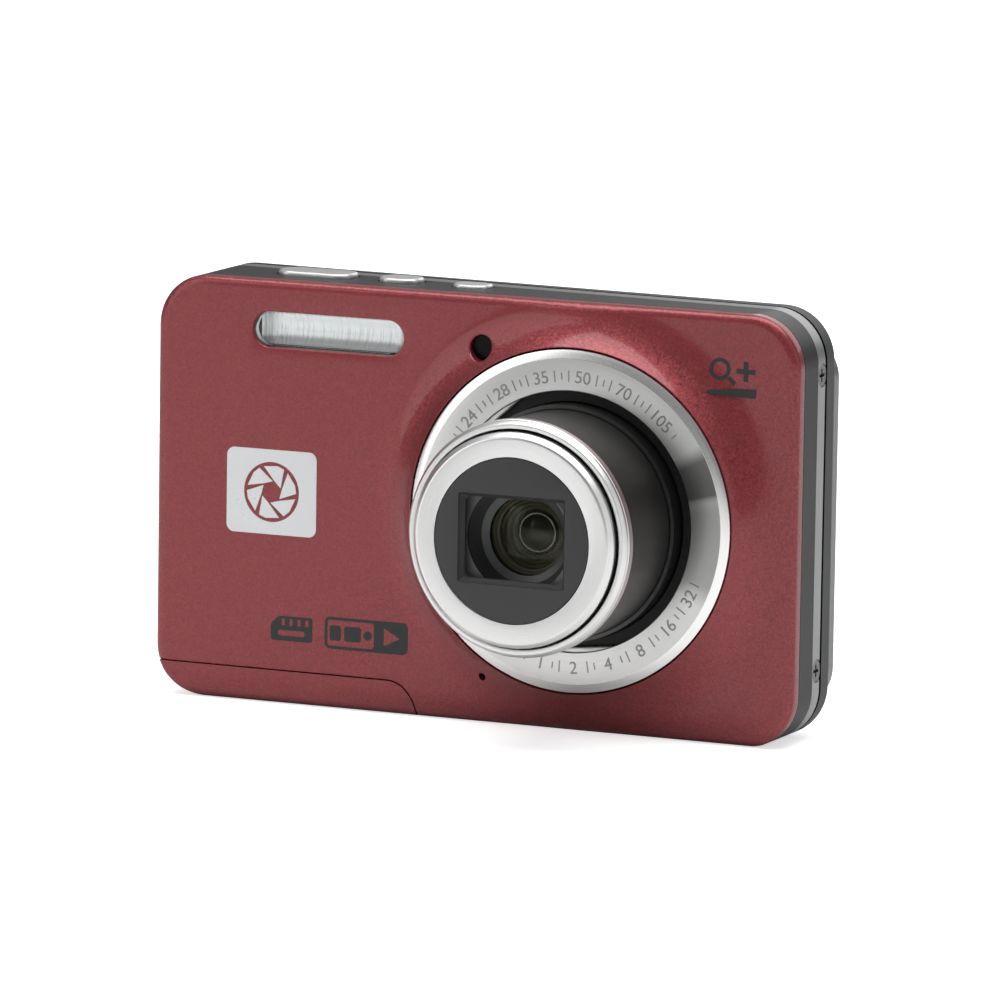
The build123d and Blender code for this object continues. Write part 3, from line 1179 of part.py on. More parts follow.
def screw(plane):
    """Cross-recessed screw with its head's top on the plane, shank running inwards."""
    with BuildPart() as fastener:
        with BuildSketch(plane):
            Circle(HEAD_R)
        extrude(amount=-HEAD_T)
        with BuildSketch(plane.offset(-HEAD_T)):
            Circle(SHANK_R)
        extrude(amount=-SHANK_L)
        with BuildSketch(plane):
            Rectangle(CROSS_L, CROSS_W)
            Rectangle(CROSS_W, CROSS_L)
        extrude(amount=-CROSS_DEPTH, mode=Mode.SUBTRACT)
    return fastener.part


screws = []
for end, y, z in SIDE_SCREWS:
    seat = Plane(origin=(end * (BODY_W / 2 - HEAD_SINK), y, z), z_dir=(end, 0, 0))
    screws.append(screw(seat))
for screw_x, screw_y in BASE_SCREWS:
    screws.append(screw(Plane(origin=(screw_x, screw_y, HEAD_SINK), z_dir=(0, 0, -1))))
case_screws = Compound(children=screws)
save(case_screws, "case_screws")
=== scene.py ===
import json
from math import cos, hypot, pi, radians, sin, sqrt

import bpy
from mathutils import Matrix, Vector
from mathutils.geometry import delaunay_2d_cdt


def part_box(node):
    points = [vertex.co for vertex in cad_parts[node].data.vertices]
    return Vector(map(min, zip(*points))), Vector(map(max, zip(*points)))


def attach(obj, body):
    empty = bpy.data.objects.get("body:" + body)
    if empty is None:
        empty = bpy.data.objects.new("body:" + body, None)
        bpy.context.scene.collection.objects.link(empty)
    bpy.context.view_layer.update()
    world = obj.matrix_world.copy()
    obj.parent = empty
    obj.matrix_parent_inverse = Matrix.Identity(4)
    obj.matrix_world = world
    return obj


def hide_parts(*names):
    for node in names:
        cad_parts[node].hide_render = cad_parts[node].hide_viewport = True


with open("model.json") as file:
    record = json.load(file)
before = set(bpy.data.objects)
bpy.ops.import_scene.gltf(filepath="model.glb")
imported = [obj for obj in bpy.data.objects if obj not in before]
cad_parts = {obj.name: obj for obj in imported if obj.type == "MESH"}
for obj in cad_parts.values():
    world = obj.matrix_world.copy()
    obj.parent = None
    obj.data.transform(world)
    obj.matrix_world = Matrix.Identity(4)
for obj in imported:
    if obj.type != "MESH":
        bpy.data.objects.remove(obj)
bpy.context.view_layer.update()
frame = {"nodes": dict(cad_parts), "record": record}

MM = 0.001
BODY = "camera_body"
FRONT_GROUP = "inner_barrel"
BARREL = "outer_barrel"


def box_mm(node):
    """Lowest and highest corner of a CAD node in millimetres."""
    lo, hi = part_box(node)
    return lo * 1000, hi * 1000


# ---- sizes, millimetres
ring_lo, ring_hi = box_mm("lens_ring")
cover_lo, cover_hi = box_mm("front_cover")
inner_lo, inner_hi = box_mm("inner_barrel")
rim_lo, rim_hi = box_mm("barrel_rim")
plate_lo, plate_hi = box_mm("lens_face_plate")
flash_lo, flash_hi = box_mm("flash_window")
lamp_lo, lamp_hi = box_mm("focus_lamp")

BODY_W = cover_hi.x - cover_lo.x
BODY_H = cover_hi.z - cover_lo.z
MID_Z = (cover_hi.z + cover_lo.z) / 2
CORNER_R = 7.0
FRONT_Y = -8.0
SEAM_Y = cover_hi.y
COVE_TOP_Y = cover_lo.y
SKIN = 1.1
WALL = 1.2
ROLL_H, ROLL_D = 4.0, 2.2
EDGE_TOP_W, EDGE_SIDE_W, EDGE_D = 1.0, 1.7, 0.9
LENS_X = (ring_lo.x + ring_hi.x) / 2
LENS_Z = (ring_lo.z + ring_hi.z) / 2
RING_Y = ring_lo.y
RING_R = (ring_hi.x - ring_lo.x) / 2
OPEN_R = RING_R + 0.13
COVE_R = 29.4
COVE_RISE = FRONT_Y - COVE_TOP_Y
COVE_BEND = ((COVE_R - OPEN_R) ** 2 + COVE_RISE**2) / (2 * COVE_RISE)
FLASH_X = (flash_lo.x + flash_hi.x) / 2
FLASH_Z = (flash_lo.z + flash_hi.z) / 2
FLASH_W = flash_hi.x - flash_lo.x - 1.2
FLASH_H = flash_hi.z - flash_lo.z - 1.0
LAMP_X = (lamp_lo.x + lamp_hi.x) / 2
LAMP_Z = (lamp_lo.z + lamp_hi.z) / 2
LAMP_R = 1.65
MIC_X, MIC_Z, MIC_R = 2.4, 6.5, 0.5
DOOR_TOP, DOOR_PIVOT_X, DOOR_PIVOT_Z, DOOR_END_R = 4.7, -11.8, 0.83, 3.87
FLASH_R = FLASH_H / 2 - 0.01
DOOR_ROUND, FLASH_ROUND, LAMP_ROUND, MIC_ROUND, OPEN_ROUND = 0.25, 0.3, 0.3, 0.1, 0.15
FACE_Y = inner_lo.y


# ---- node materials
class Wires:
    """Adds and joins the shader nodes of one node tree."""

    def __init__(self, tree):
        self.tree = tree

    def add(self, kind, **settings):
        node = self.tree.nodes.new(kind)
        for key, value in settings.items():
            setattr(node, key, value)
        return node

    def join(self, a, b):
        self.tree.links.new(a, b)

    def vector(self, operation, a, b=None, scale=None):
        node = self.add("ShaderNodeVectorMath", operation=operation)
        self.join(a, node.inputs[0])
        if isinstance(b, tuple):
            node.inputs[1].default_value = b
        elif b is not None:
            self.join(b, node.inputs[1])
        if scale is not None:
            node.inputs["Scale"].default_value = scale
        return node.outputs[0]

    def axes(self, source):
        node = self.add("ShaderNodeSeparateXYZ")
        self.join(source, node.inputs[0])
        return node.outputs

    def math(self, operation, a, b):
        node = self.add("ShaderNodeMath", operation=operation)
        for slot, value in enumerate((a, b)):
            if isinstance(value, (int, float)):
                node.inputs[slot].default_value = value
            else:
                self.join(value, node.inputs[slot])
        return node.outputs[0]

    def ramp(self, source, stops):
        node = self.add("ShaderNodeValToRGB")
        self.join(source, node.inputs["Fac"])
        ramp = node.color_ramp
        while len(ramp.elements) < len(stops):
            ramp.elements.new(0.5)
        for element, (place, colour) in zip(ramp.elements, stops):
            element.position = place
            element.color = colour if len(colour) == 4 else (*colour, 1.0)
        return node.outputs["Color"]

    def span(self, source, low, high):
        node = self.add("ShaderNodeMapRange")
        self.join(source, node.inputs["Value"])
        node.inputs["To Min"].default_value = low
        node.inputs["To Max"].default_value = high
        return node.outputs["Result"]

    def mix(self, factor, a, b, blend="MIX"):
        node = self.add("ShaderNodeMix", data_type="RGBA", blend_type=blend)
        for slot, value in ((0, factor), (6, a), (7, b)):
            if isinstance(value, (int, float)):
                node.inputs[slot].default_value = value
            elif isinstance(value, tuple):
                node.inputs[slot].default_value = (*value, 1.0)
            else:
                self.join(value, node.inputs[slot])
        return node.outputs[2]


class Finish(Wires):
    """Principled material in object space, in millimetres."""

    def __init__(self, name):
        self.material = bpy.data.materials.new(name)
        self.material.use_nodes = True
        super().__init__(self.material.node_tree)
        self.shader = self.tree.nodes["Principled BSDF"]
        self.output = self.tree.nodes["Material Output"]
        coords = self.add("ShaderNodeTexCoord")
        self.space = self.vector("SCALE", coords.outputs["Object"], scale=1000.0)

    def set(self, **values):
        for key, value in values.items():
            self.shader.inputs[key.replace("_", " ")].default_value = value

    def noise(self, scale, detail=3.0, source=None):
        node = self.add("ShaderNodeTexNoise")
        self.join(source or self.space, node.inputs["Vector"])
        node.inputs["Scale"].default_value = scale
        node.inputs["Detail"].default_value = detail
        return node.outputs["Fac"]

    def cells(self, scale):
        node = self.add("ShaderNodeTexVoronoi")
        self.join(self.space, node.inputs["Vector"])
        node.inputs["Scale"].default_value = scale
        return node

    def bump(self, height, depth_mm):
        node = self.add("ShaderNodeBump")
        self.join(height, node.inputs["Height"])
        node.inputs["Distance"].default_value = depth_mm * MM
        return node.outputs["Normal"]

    def colour(self, source):
        self.join(source, self.shader.inputs["Base Color"])

    def rough(self, source):
        self.join(source, self.shader.inputs["Roughness"])

    def normal(self, source):
        self.join(source, self.shader.inputs["Normal"])


def tint(colour, factor):
    return tuple(min(1.0, c * factor) for c in colour)


# Reach, falloff and gloss of the shade painted in grooves and gaps.
GROOVE_SHADE_REACH, GROOVE_SHADE_POWER, GROOVE_SHADE_GLOSS = 1.3, 4.0, 0.28
SOIL_SCALE, SOIL_AMOUNT, SOIL_TINT, SOIL_GLOSS = 0.09, 0.12, 0.6, 0.04
GLOSS_SPREAD, COAT_ROUGHNESS = 0.06, 0.12


def grained(name, colour, roughness, metallic=0.0, scale=4.0, depth=0.004, vary=0.18,
            stretch=(1, 1, 1), coat=0.0, groove_shade=False, **extra):
    """Moulded or painted finish: fine grain in colour, gloss and relief, over slow soiling.

    Optionally, shade is painted inside grooves and gaps: colour and specular darken there by ambient
    occlusion.
    """
    f = Finish(name)
    f.set(Metallic=metallic, **extra)
    if coat:
        f.set(Coat_Weight=coat, Coat_Roughness=COAT_ROUGHNESS)
    fine = f.noise(scale, 4.0, f.vector("MULTIPLY", f.space, stretch))
    slow = f.noise(SOIL_SCALE, 2.0)
    base = f.mix(fine, tint(colour, 1 - vary), tint(colour, 1 + vary))
    shade = f.mix(f.span(slow, 0.0, SOIL_AMOUNT), base, tint(colour, SOIL_TINT))
    # Painted shade: darken colour and specular where ambient occlusion finds a groove or gap.
    if groove_shade:
        groove_occlusion = f.add("ShaderNodeAmbientOcclusion")
        groove_occlusion.inputs["Distance"].default_value = GROOVE_SHADE_REACH * MM
        open_sky = f.math("POWER", groove_occlusion.outputs["AO"], GROOVE_SHADE_POWER)
        shade = f.mix(open_sky, tint(colour, 0.1), shade)
        f.join(f.math("MULTIPLY", open_sky, GROOVE_SHADE_GLOSS), f.shader.inputs["Specular IOR Level"])
    f.colour(shade)
    gloss = f.span(fine, roughness - GLOSS_SPREAD, roughness + GLOSS_SPREAD)
    f.rough(f.math("ADD", gloss, f.span(slow, -SOIL_GLOSS, SOIL_GLOSS)))
    f.normal(f.bump(fine, depth))
    return f.material


FLAKES_PER_MM, FLAKE_TILT = 5.5, 0.22


def metallic_red():
    """Red base with aluminium flakes under a satin lacquer."""
    f = Finish("paint_metallic_red")
    flake = f.cells(FLAKES_PER_MM)
    fleck = f.add("ShaderNodeSeparateColor")
    f.join(flake.outputs["Color"], fleck.inputs[0])
    cloud = f.noise(2.2, 3.0)
    slow = f.noise(0.05, 2.0)
    base = f.mix(fleck.outputs[0], (0.165, 0.017, 0.022), (0.30, 0.043, 0.050))
    base = f.mix(f.span(cloud, 0.0, 0.45), base, (0.22, 0.03, 0.036))
    f.colour(f.mix(f.span(slow, 0.0, 0.2), base, (0.32, 0.058, 0.063)))
    f.set(Metallic=0.70, Coat_Weight=0.65, Coat_Roughness=0.11, Coat_IOR=1.5)
    f.rough(f.span(fleck.outputs[1], 0.34, 0.56))
    lean = f.vector("SUBTRACT", flake.outputs["Color"], (0.5, 0.5, 0.5))
    lean = f.vector("SCALE", lean, scale=FLAKE_TILT)
    geometry = f.add("ShaderNodeNewGeometry")
    f.normal(f.vector("NORMALIZE", f.vector("ADD", geometry.outputs["Normal"], lean)))
    return f.material


def spun(name, colour, roughness, pitch=9.0, depth=0.002, painted_reflection=(), vary=0.10, anisotropy=0.6):
    """Metal turned about the lens axis: fine rings, optionally under a painted reflection of broad light and
    dark bands by angle.
    """
    f = Finish(name)
    x, y, z = f.axes(f.vector("SUBTRACT", f.space, (LENS_X, 0, LENS_Z)))
    radius = f.math("SQRT", f.math("ADD", f.math("MULTIPLY", x, x), f.math("MULTIPLY", z, z)), 0)
    angle = f.math("ARCTAN2", z, x)
    path = f.add("ShaderNodeCombineXYZ")
    f.join(f.math("MULTIPLY", radius, pitch), path.inputs[0])
    f.join(f.math("MULTIPLY", angle, 1.1), path.inputs[1])
    f.join(f.math("MULTIPLY", y, pitch), path.inputs[2])
    rings = f.noise(1.0, 3.0, path.outputs[0])
    base = f.mix(rings, tint(colour, 1 - vary), tint(colour, 1 + vary))
    # Painted reflection: multiply the colour by broad light and dark bands by angle about the axis.
    if painted_reflection:
        turn = f.math("ADD", f.math("DIVIDE", angle, 2 * pi), 0.5)
        reflection_bands = f.ramp(turn, [((a / 360) + 0.5, (v, v, v)) for a, v in painted_reflection])
        base = f.mix(1.0, base, reflection_bands, "MULTIPLY")
    f.colour(base)
    f.set(Metallic=1.0, Anisotropic=anisotropy)
    tangent = f.add("ShaderNodeTangent", direction_type="RADIAL", axis="Y")
    f.join(tangent.outputs[0], f.shader.inputs["Tangent"])
    f.rough(f.span(rings, roughness - 0.07, roughness + 0.07))
    f.normal(f.bump(rings, depth))
    return f.material


def clear(name, colour, mirror=(0.9, 0.95, 0.9), strength=1.0, scratch=0.00015):
    """Thin coated glass: passes light straight through and reflects by angle."""
    f = Finish(name)
    f.tree.nodes.remove(f.shader)
    through = f.add("ShaderNodeBsdfTransparent")
    through.inputs[0].default_value = (*colour, 1)
    gloss = f.add("ShaderNodeBsdfGlossy")
    gloss.inputs["Color"].default_value = (*mirror, 1)
    gloss.inputs["Roughness"].default_value = 0.03
    wipe = f.noise(1.4, 4.0)
    f.join(f.bump(wipe, scratch), gloss.inputs["Normal"])
    fresnel = f.add("ShaderNodeFresnel")
    fresnel.inputs["IOR"].default_value = 1.45
    blend = f.add("ShaderNodeMixShader")
    f.join(f.math("MULTIPLY", fresnel.outputs[0], strength), blend.inputs[0])
    f.join(through.outputs[0], blend.inputs[1])
    f.join(gloss.outputs[0], blend.inputs[2])
    f.join(blend.outputs[0], f.output.inputs["Surface"])
    return f.material


red = metallic_red()
# Painted reflection on the ring face: angle about the lens axis in degrees, and the painted brightness there.
RING_PAINTED_REFLECTION = ((-180, 0.92), (-120, 0.95), (-28, 0.98), (-20, 0.55), (8, 0.50), (12, 0.60),
            (14, 0.20), (27, 0.24), (32, 0.85), (60, 0.92), (120, 0.88), (180, 0.92))
ring_metal = spun("metal_ring_face", (0.72, 0.72, 0.71), 0.36, painted_reflection=RING_PAINTED_REFLECTION)
bevel_metal = spun("metal_ring_bevel", (0.88, 0.88, 0.87), 0.22, vary=0.05)
mark_metal = spun("metal_ring_marks", (0.30, 0.30, 0.295), 0.42, vary=0.15)
rim_metal = spun("metal_barrel", (0.74, 0.74, 0.735), 0.30, vary=0.06)

SLOTS = {
    "red_paint": red,
    # The frame and the rear shell get painted shade in their grooves and gaps.
    "frame_grey": grained(
        "frame_gunmetal", (0.020, 0.0205, 0.021), 0.42, 0.2, 7.0, 0.003, 0.2, groove_shade=True),
    "trim_silver": grained("trim_satin", (0.30, 0.302, 0.305), 0.36, 0.85, 3.0, 0.002, 0.08, (0.15, 6, 0.15)),
    "rear_grey": grained("shell_dark", (0.050, 0.051, 0.053), 0.48, 0.2, 6.0, 0.006, 0.2, groove_shade=True),
    "screen_edge": grained("screen_surround", (0.13, 0.135, 0.14), 0.33, 0.4, 5.0, 0.002, 0.1, coat=0.3),
    "pane": clear("screen_glass", (0.16, 0.17, 0.18), (1, 1, 1), 1.1, 0.00006),
    "display": grained("display_glass", (0.012, 0.013, 0.017), 0.22, 0.0, 3.0, 0.0001, 0.1),
    "ring_silver": ring_metal,
    "barrel_black": spun(
        "barrel_charcoal", (0.10, 0.099, 0.097), 0.42, 6.0, 0.002, vary=0.08, anisotropy=0.3),
    "barrel_silver": rim_metal,
    "face_black": grained("face_charcoal", (0.030, 0.030, 0.031), 0.5, 0.0, 9.0, 0.003, 0.15),
    "blade_black": grained("blade_black", (0.03, 0.03, 0.03), 0.45, 0.3, 8.0, 0.002),
    "cell_black": grained(
        "cell_black", (0.009, 0.0095, 0.009), 0.45, 0.0, 8.0, 0.003, Specular_IOR_Level=0.25),
    "retainer_grey": spun("retainer_grey", (0.075, 0.08, 0.077), 0.42, vary=0.1),
    "lens_glass": clear("glass_coated", (0.68, 0.68, 0.62), (0.85, 0.9, 0.75), 0.4),
    "key_silver": grained("key_plated", (0.66, 0.66, 0.66), 0.36, 0.8, 5.0, 0.0005, 0.05),
    "key_grey": grained("key_grey", (0.20, 0.205, 0.21), 0.36, 0.4, 6.0, 0.002, 0.1, coat=0.3),
    "gear_nylon": grained(
        "gear_nylon", (0.72, 0.70, 0.63), 0.45, 0.0, 3.0, 0.004, 0.06, Subsurface_Weight=0.1),
    "motor_steel": grained("motor_steel", (0.58, 0.58, 0.57), 0.3, 1.0, 3.0, 0.002, 0.1, (6, 0.4, 6)),
    "board_green": grained("board_mask", (0.02, 0.13, 0.06), 0.32, 0.0, 2.0, 0.004, 0.3, coat=0.4),
    "flash_clear": clear("flash_clear", (0.97, 0.98, 0.98), (1, 1, 1), 1.0),
    "reflector": grained("reflector_bright", (0.86, 0.87, 0.87), 0.2, 0.75, 3.0, 0.006, 0.08, (3, 0.3, 0.3)),
    "tube_glass": clear("tube_glass", (0.93, 0.94, 0.95), (1, 1, 1), 0.6),
    "capacitor": grained("capacitor_sleeve", (0.03, 0.03, 0.04), 0.3, 0.0, 3.0, 0.003),
    "battery_wrap": grained("battery_case", (0.16, 0.165, 0.18), 0.45, 0.0, 5.0, 0.004),
    "contact_gold": grained("contact_gold", (0.80, 0.58, 0.22), 0.25, 1.0, 6.0, 0.001),
    "sheet_steel": grained("sheet_steel", (0.55, 0.55, 0.54), 0.3, 1.0, 3.0, 0.002, 0.1, (0.3, 5, 5)),
    "screw_steel": grained("screw_blackened", (0.16, 0.16, 0.16), 0.34, 0.9, 7.0, 0.002, 0.25),
    "chassis_black": grained("chassis_black", (0.04, 0.04, 0.043), 0.5, 0.0, 5.0, 0.005),
    "sensor_glass": grained("sensor_cover", (0.03, 0.045, 0.05), 0.12, 0.3, 20.0, 0.0004, 0.4),
    "bush_steel": grained("bush_steel", (0.60, 0.59, 0.56), 0.32, 1.0, 6.0, 0.003, 0.1, (1, 1, 8)),
    "latch_black": grained("latch_black", (0.04, 0.04, 0.042), 0.5, 0.0, 6.0, 0.004),
}
slot_of = {part["node"]: part["material_slot"] for part in frame["record"]["subparts"]}
for node, obj in frame["nodes"].items():
    for holder in obj.material_slots:
        holder.material = SLOTS[slot_of[node]]

dark_lens = grained(
    "lamp_window", (0.004, 0.003, 0.003), 0.25, 0.0, 10.0, 0.0005, 0.3, Specular_IOR_Level=0.12)
frame["nodes"]["focus_lamp"].material_slots[0].material = dark_lens
ink = grained("print_ink", (0.013, 0.018, 0.015), 0.5, 0.0, 9.0, 0.002, 0.2)
badge_metal = grained("badge_silver", (0.70, 0.71, 0.72), 0.30, 0.35, 6.0, 0.001, 0.05)
symbol_white = grained("print_white", (0.72, 0.72, 0.71), 0.45, 0.0, 8.0, 0.001, 0.06)


# ---- mesh helpers
def piece(name, verts, faces, body, material, replaces=(), slot=None, sharp=32.0):
    """Mesh from millimetre vertices; edges sharper than the given angle stay crisp."""
    mesh = bpy.data.meshes.new(name)
    mesh.from_pydata([(x * MM, y * MM, z * MM) for x, y, z in verts], [], faces)
    mesh.validate()
    mesh.polygons.foreach_set("use_smooth", [True] * len(mesh.polygons))
    mesh.set_sharp_from_angle(angle=radians(sharp))
    obj = bpy.data.objects.new(name, mesh)
    bpy.context.scene.collection.objects.link(obj)
    obj.data.materials.append(material)
    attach(obj, body)
    if replaces:
        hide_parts(*replaces)
    return obj


def softened(points, radius, steps=4):
    """Closed outline with each corner turned into a short arc."""
    result = []
    count = len(points)
    for i in range(count):
        before, here, after = (Vector(points[j % count]) for j in (i - 1, i, i + 1))
        a, b = before - here, after - here
        reach = min(radius, a.length * 0.45, b.length * 0.45)
        if reach < 1e-4:
            result.append(tuple(here))
            continue
        p, q = here + a.normalized() * reach, here + b.normalized() * reach
        for step in range(steps + 1):
            t = step / steps
            result.append(tuple((1 - t) ** 2 * p + 2 * t * (1 - t) * here + t * t * q))
    return result


def turned(profile, segments=240):
    """Closed (radius, y) outline swept about the lens axis, as vertices and faces.

    An outline that starts and ends on the axis is closed there.
    """
    ends = [p for p in profile if p[0] < 1e-6]
    rest = [p for p in profile if p[0] >= 1e-6]
    area = sum(a[0] * b[1] - b[0] * a[1] for a, b in zip(profile, profile[1:] + profile[:1]))
    if not ends and area < 0:
        rest = rest[::-1]
    count, first = len(rest), 2 if ends else 0
    verts = [(LENS_X, ends[0][1], LENS_Z), (LENS_X, ends[-1][1], LENS_Z)] if ends else []
    faces = []
    for s in range(segments):
        t = 2 * pi * s / segments
        verts += [(LENS_X + r * cos(t), y, LENS_Z + r * sin(t)) for r, y in rest]
        a, b = first + s * count, first + (s + 1) % segments * count
        faces += [(a + i, a + i + 1, b + i + 1, b + i) for i in range(count - 1)]
        if ends:
            faces += [(0, a, b), (1, b + count - 1, a + count - 1)]
        else:
            faces.append((a + count - 1, a, b, b + count - 1))
    return verts, faces


def solid_of_turn(name, profile, body, material, replaces=(), slot=None, segments=240):
    """Piece turned about the lens axis."""
    return piece(name, *turned(profile, segments), body, material, replaces, slot)


def relief(loops, inside, front, back, spots=()):
    """Plate over the X-Z plane between two height functions, trimmed by inside(x, z)."""
    points, edges = [], []
    for loop, closed in loops:
        start = len(points)
        points += [Vector(p) for p in loop]
        last = len(points) - 1
        edges += [(i, i + 1) for i in range(start, last)]
        if closed:
            edges.append((last, start))
    points += [Vector(p) for p in spots]
    flat, _, tris, *_ = delaunay_2d_cdt(points, edges, [], 0, 1e-5)
    keep = []
    for tri in tris:
        x = sum(flat[i][0] for i in tri) / 3
        z = sum(flat[i][1] for i in tri) / 3
        if inside(x, z):
            keep.append(tuple(tri))
    used = sorted({i for tri in keep for i in tri})
    index = {old: new for new, old in enumerate(used)}
    count = len(used)
    verts = [(flat[i][0], front(*flat[i]), flat[i][1]) for i in used]
    verts += [(flat[i][0], back(*flat[i]), flat[i][1]) for i in used]
    faces = [tuple(index[i] for i in tri) for tri in keep]
    directed = {(t[i], t[(i + 1) % 3]) for t in faces for i in range(3)}
    walls = [(b, a, a + count, b + count) for a, b in directed if (b, a) not in directed]
    backs = [tuple(i + count for i in reversed(t)) for t in faces]
    return verts, faces + backs + sorted(walls)


def circle(x, z, r, count=64):
    return [(x + r * cos(2 * pi * i / count), z + r * sin(2 * pi * i / count)) for i in range(count)]


SIDE_STEP = 2.0


def rounded(x, z, width, height, radius, corner=10):
    """Rounded rectangle outline, anticlockwise, with its straight sides divided."""
    outline = []
    for cx, cz, start in ((1, -1, -90), (1, 1, 0), (-1, 1, 90), (-1, -1, 180)):
        px = x + cx * (width / 2 - radius)
        pz = z + cz * (height / 2 - radius)
        for i in range(corner + 1):
            t = radians(start + 90 * i / corner)
            outline.append((px + radius * cos(t), pz + radius * sin(t)))
    divided = []
    for a, b in zip(outline, outline[1:] + outline[:1]):
        parts = max(1, round(hypot(b[0] - a[0], b[1] - a[1]) / SIDE_STEP))
        divided += [
            (a[0] + (b[0] - a[0]) * k / parts, a[1] + (b[1] - a[1]) * k / parts) for k in range(parts)
        ]
    return divided


def slab_distance(x, z, cx, cz, width, height, radius):
    """Distance outside a rounded rectangle; negative inside."""
    qx = abs(x - cx) - (width / 2 - radius)
    qz = abs(z - cz) - (height / 2 - radius)
    return hypot(max(qx, 0), max(qz, 0)) + min(max(qx, qz), 0) - radius


def axis_r(x, z):
    """Distance from the lens axis."""
    return hypot(x - LENS_X, z - LENS_Z)


def clamp(value, low=0.0, high=1.0):
    return max(low, min(high, value))


# ---- front shell
def roundover(distance, width, depth):
    """Depth lost by an elliptical edge round at this distance from the edge."""
    u = clamp(1 - distance / width)
    return depth * (1 - sqrt(max(0.0, 1 - u * u)))


def door_distance(x, z):
    """Distance outside the battery door's outline; negative inside."""
    across = x - DOOR_PIVOT_X
    if across < 0:
        return z - DOOR_TOP
    if z < DOOR_PIVOT_Z:
        return across - DOOR_END_R
    return hypot(across, z - DOOR_PIVOT_Z) - DOOR_END_R


def hole_distances(x, z):
    """Distance outside each opening, with the width of its rounded edge."""
    return (
        (door_distance(x, z), DOOR_ROUND),
        (slab_distance(x, z, FLASH_X, FLASH_Z, FLASH_W, FLASH_H, FLASH_R), FLASH_ROUND),
        (hypot(x - LAMP_X, z - LAMP_Z) - LAMP_R, LAMP_ROUND),
        (hypot(x - MIC_X, z - MIC_Z) - MIC_R, MIC_ROUND),
        (axis_r(x, z) - OPEN_R, OPEN_ROUND),
    )


def shell_front(x, z):
    """Outer surface of the front cover: flat, with a cove up to the ring and soft edges."""
    inset = -slab_distance(x, z, 0, MID_Z, BODY_W, BODY_H, CORNER_R)
    qx = max(abs(x) - (BODY_W / 2 - CORNER_R), 0.0)
    qz = max(abs(z - MID_Z) - (BODY_H / 2 - CORNER_R), 0.0)
    side = qx / (qx + qz) if qx + qz > 1e-9 else 0.0
    width = EDGE_TOP_W + (EDGE_SIDE_W - EDGE_TOP_W) * side
    edge = roundover(inset, width, EDGE_D)
    roll = roundover(z, ROLL_H, ROLL_D)
    lost = (edge**3 + roll**3) ** (1 / 3)
    reach = clamp(COVE_R - axis_r(x, z), 0, COVE_R - OPEN_R)
    rise = COVE_BEND - sqrt(COVE_BEND**2 - reach**2)
    lost += sum(roundover(max(d, 0), w, w * 0.8) for d, w in hole_distances(x, z))
    return min(FRONT_Y - rise + lost, SEAM_Y - 0.05)


def shell_back(x, z):
    """Inner surface of the front cover, level with the seam round its rim."""
    inset = -slab_distance(x, z, 0, MID_Z, BODY_W, BODY_H, CORNER_R)
    if inset < WALL:
        return SEAM_Y
    return min(shell_front(x, z) + SKIN, SEAM_Y)


def in_shell(x, z):
    inside = slab_distance(x, z, 0, MID_Z, BODY_W, BODY_H, CORNER_R) < 0
    return inside and all(d > 0 for d, _ in hole_distances(x, z))


# Where the shell's mesh has rings of points, measured in from or out of each edge.
RIM_INSETS = (0, 0.03, 0.1, 0.22, 0.4, 0.62, 0.9, 1.19, 1.21, 1.5, 1.75)
OPEN_EXTRAS = (0.02, 0.06, 0.1, 0.15)
WINDOW_EXTRAS = (0, 0.04, 0.1, 0.18, 0.3)
MIC_EXTRAS = (0, 0.03, 0.1)
DOOR_EXTRAS = (0, 0.05, 0.12, 0.25)
ROLL_HEIGHTS = (0.03, 0.1, 0.22, 0.4, 0.65, 1.0, 1.4, 1.9, 2.5, 3.2, 4.0)
COVE_STEPS, COVE_POINTS, ROLL_PARTS, DOOR_PARTS = 18, 200, 62, 14
SPOT_X0, SPOT_Z0, SPOT_DX, SPOT_DZ, SPOT_COLUMNS, SPOT_ROWS = -44, 5.5, 2.8, 2.7, 32, 19


def front_shell():
    """Mesh of the front cover, fine along its edges and openings."""
    loops = []
    for inset in RIM_INSETS:
        rim = rounded(0, MID_Z, BODY_W - 2 * inset, BODY_H - 2 * inset, CORNER_R - inset, 20)
        loops.append((rim, True))
    for step in range(COVE_STEPS + 1):
        r = OPEN_R + (COVE_R + 0.1 - OPEN_R) * step / COVE_STEPS
        loops.append((circle(LENS_X, LENS_Z, r, COVE_POINTS), True))
    for extra in OPEN_EXTRAS:
        loops.append((circle(LENS_X, LENS_Z, OPEN_R + extra, COVE_POINTS), True))
    for extra in WINDOW_EXTRAS:
        width, height = FLASH_W + 2 * extra, FLASH_H + 2 * extra
        loops.append((rounded(FLASH_X, FLASH_Z, width, height, FLASH_R + extra, 16), True))
        loops.append((circle(LAMP_X, LAMP_Z, LAMP_R + extra, 48), True))
    for extra in MIC_EXTRAS:
        loops.append((circle(MIC_X, MIC_Z, MIC_R + extra, 32), True))
    half = BODY_W / 2 + 1
    for z in ROLL_HEIGHTS:
        line = [(-half + k * 2 * half / ROLL_PARTS, z) for k in range(ROLL_PARTS + 1)]
        loops.append((line, False))
    for extra in DOOR_EXTRAS:
        door = [(-half, DOOR_TOP + extra)]
        for k in range(DOOR_PARTS + 1):
            t = pi / 2 * (1 - k / DOOR_PARTS)
            r = DOOR_END_R + extra
            door.append((DOOR_PIVOT_X + r * cos(t), DOOR_PIVOT_Z + r * sin(t)))
        door.append((DOOR_PIVOT_X + DOOR_END_R + extra, -1))
        loops.append((door, False))
    spots = [(SPOT_X0 + SPOT_DX * i, SPOT_Z0 + SPOT_DZ * k)
             for i in range(SPOT_COLUMNS) for k in range(SPOT_ROWS)]
    return relief(loops, in_shell, shell_front, shell_back, spots)


piece("front_shell", *front_shell(), BODY, red, ("front_cover",), "red_paint", 40)


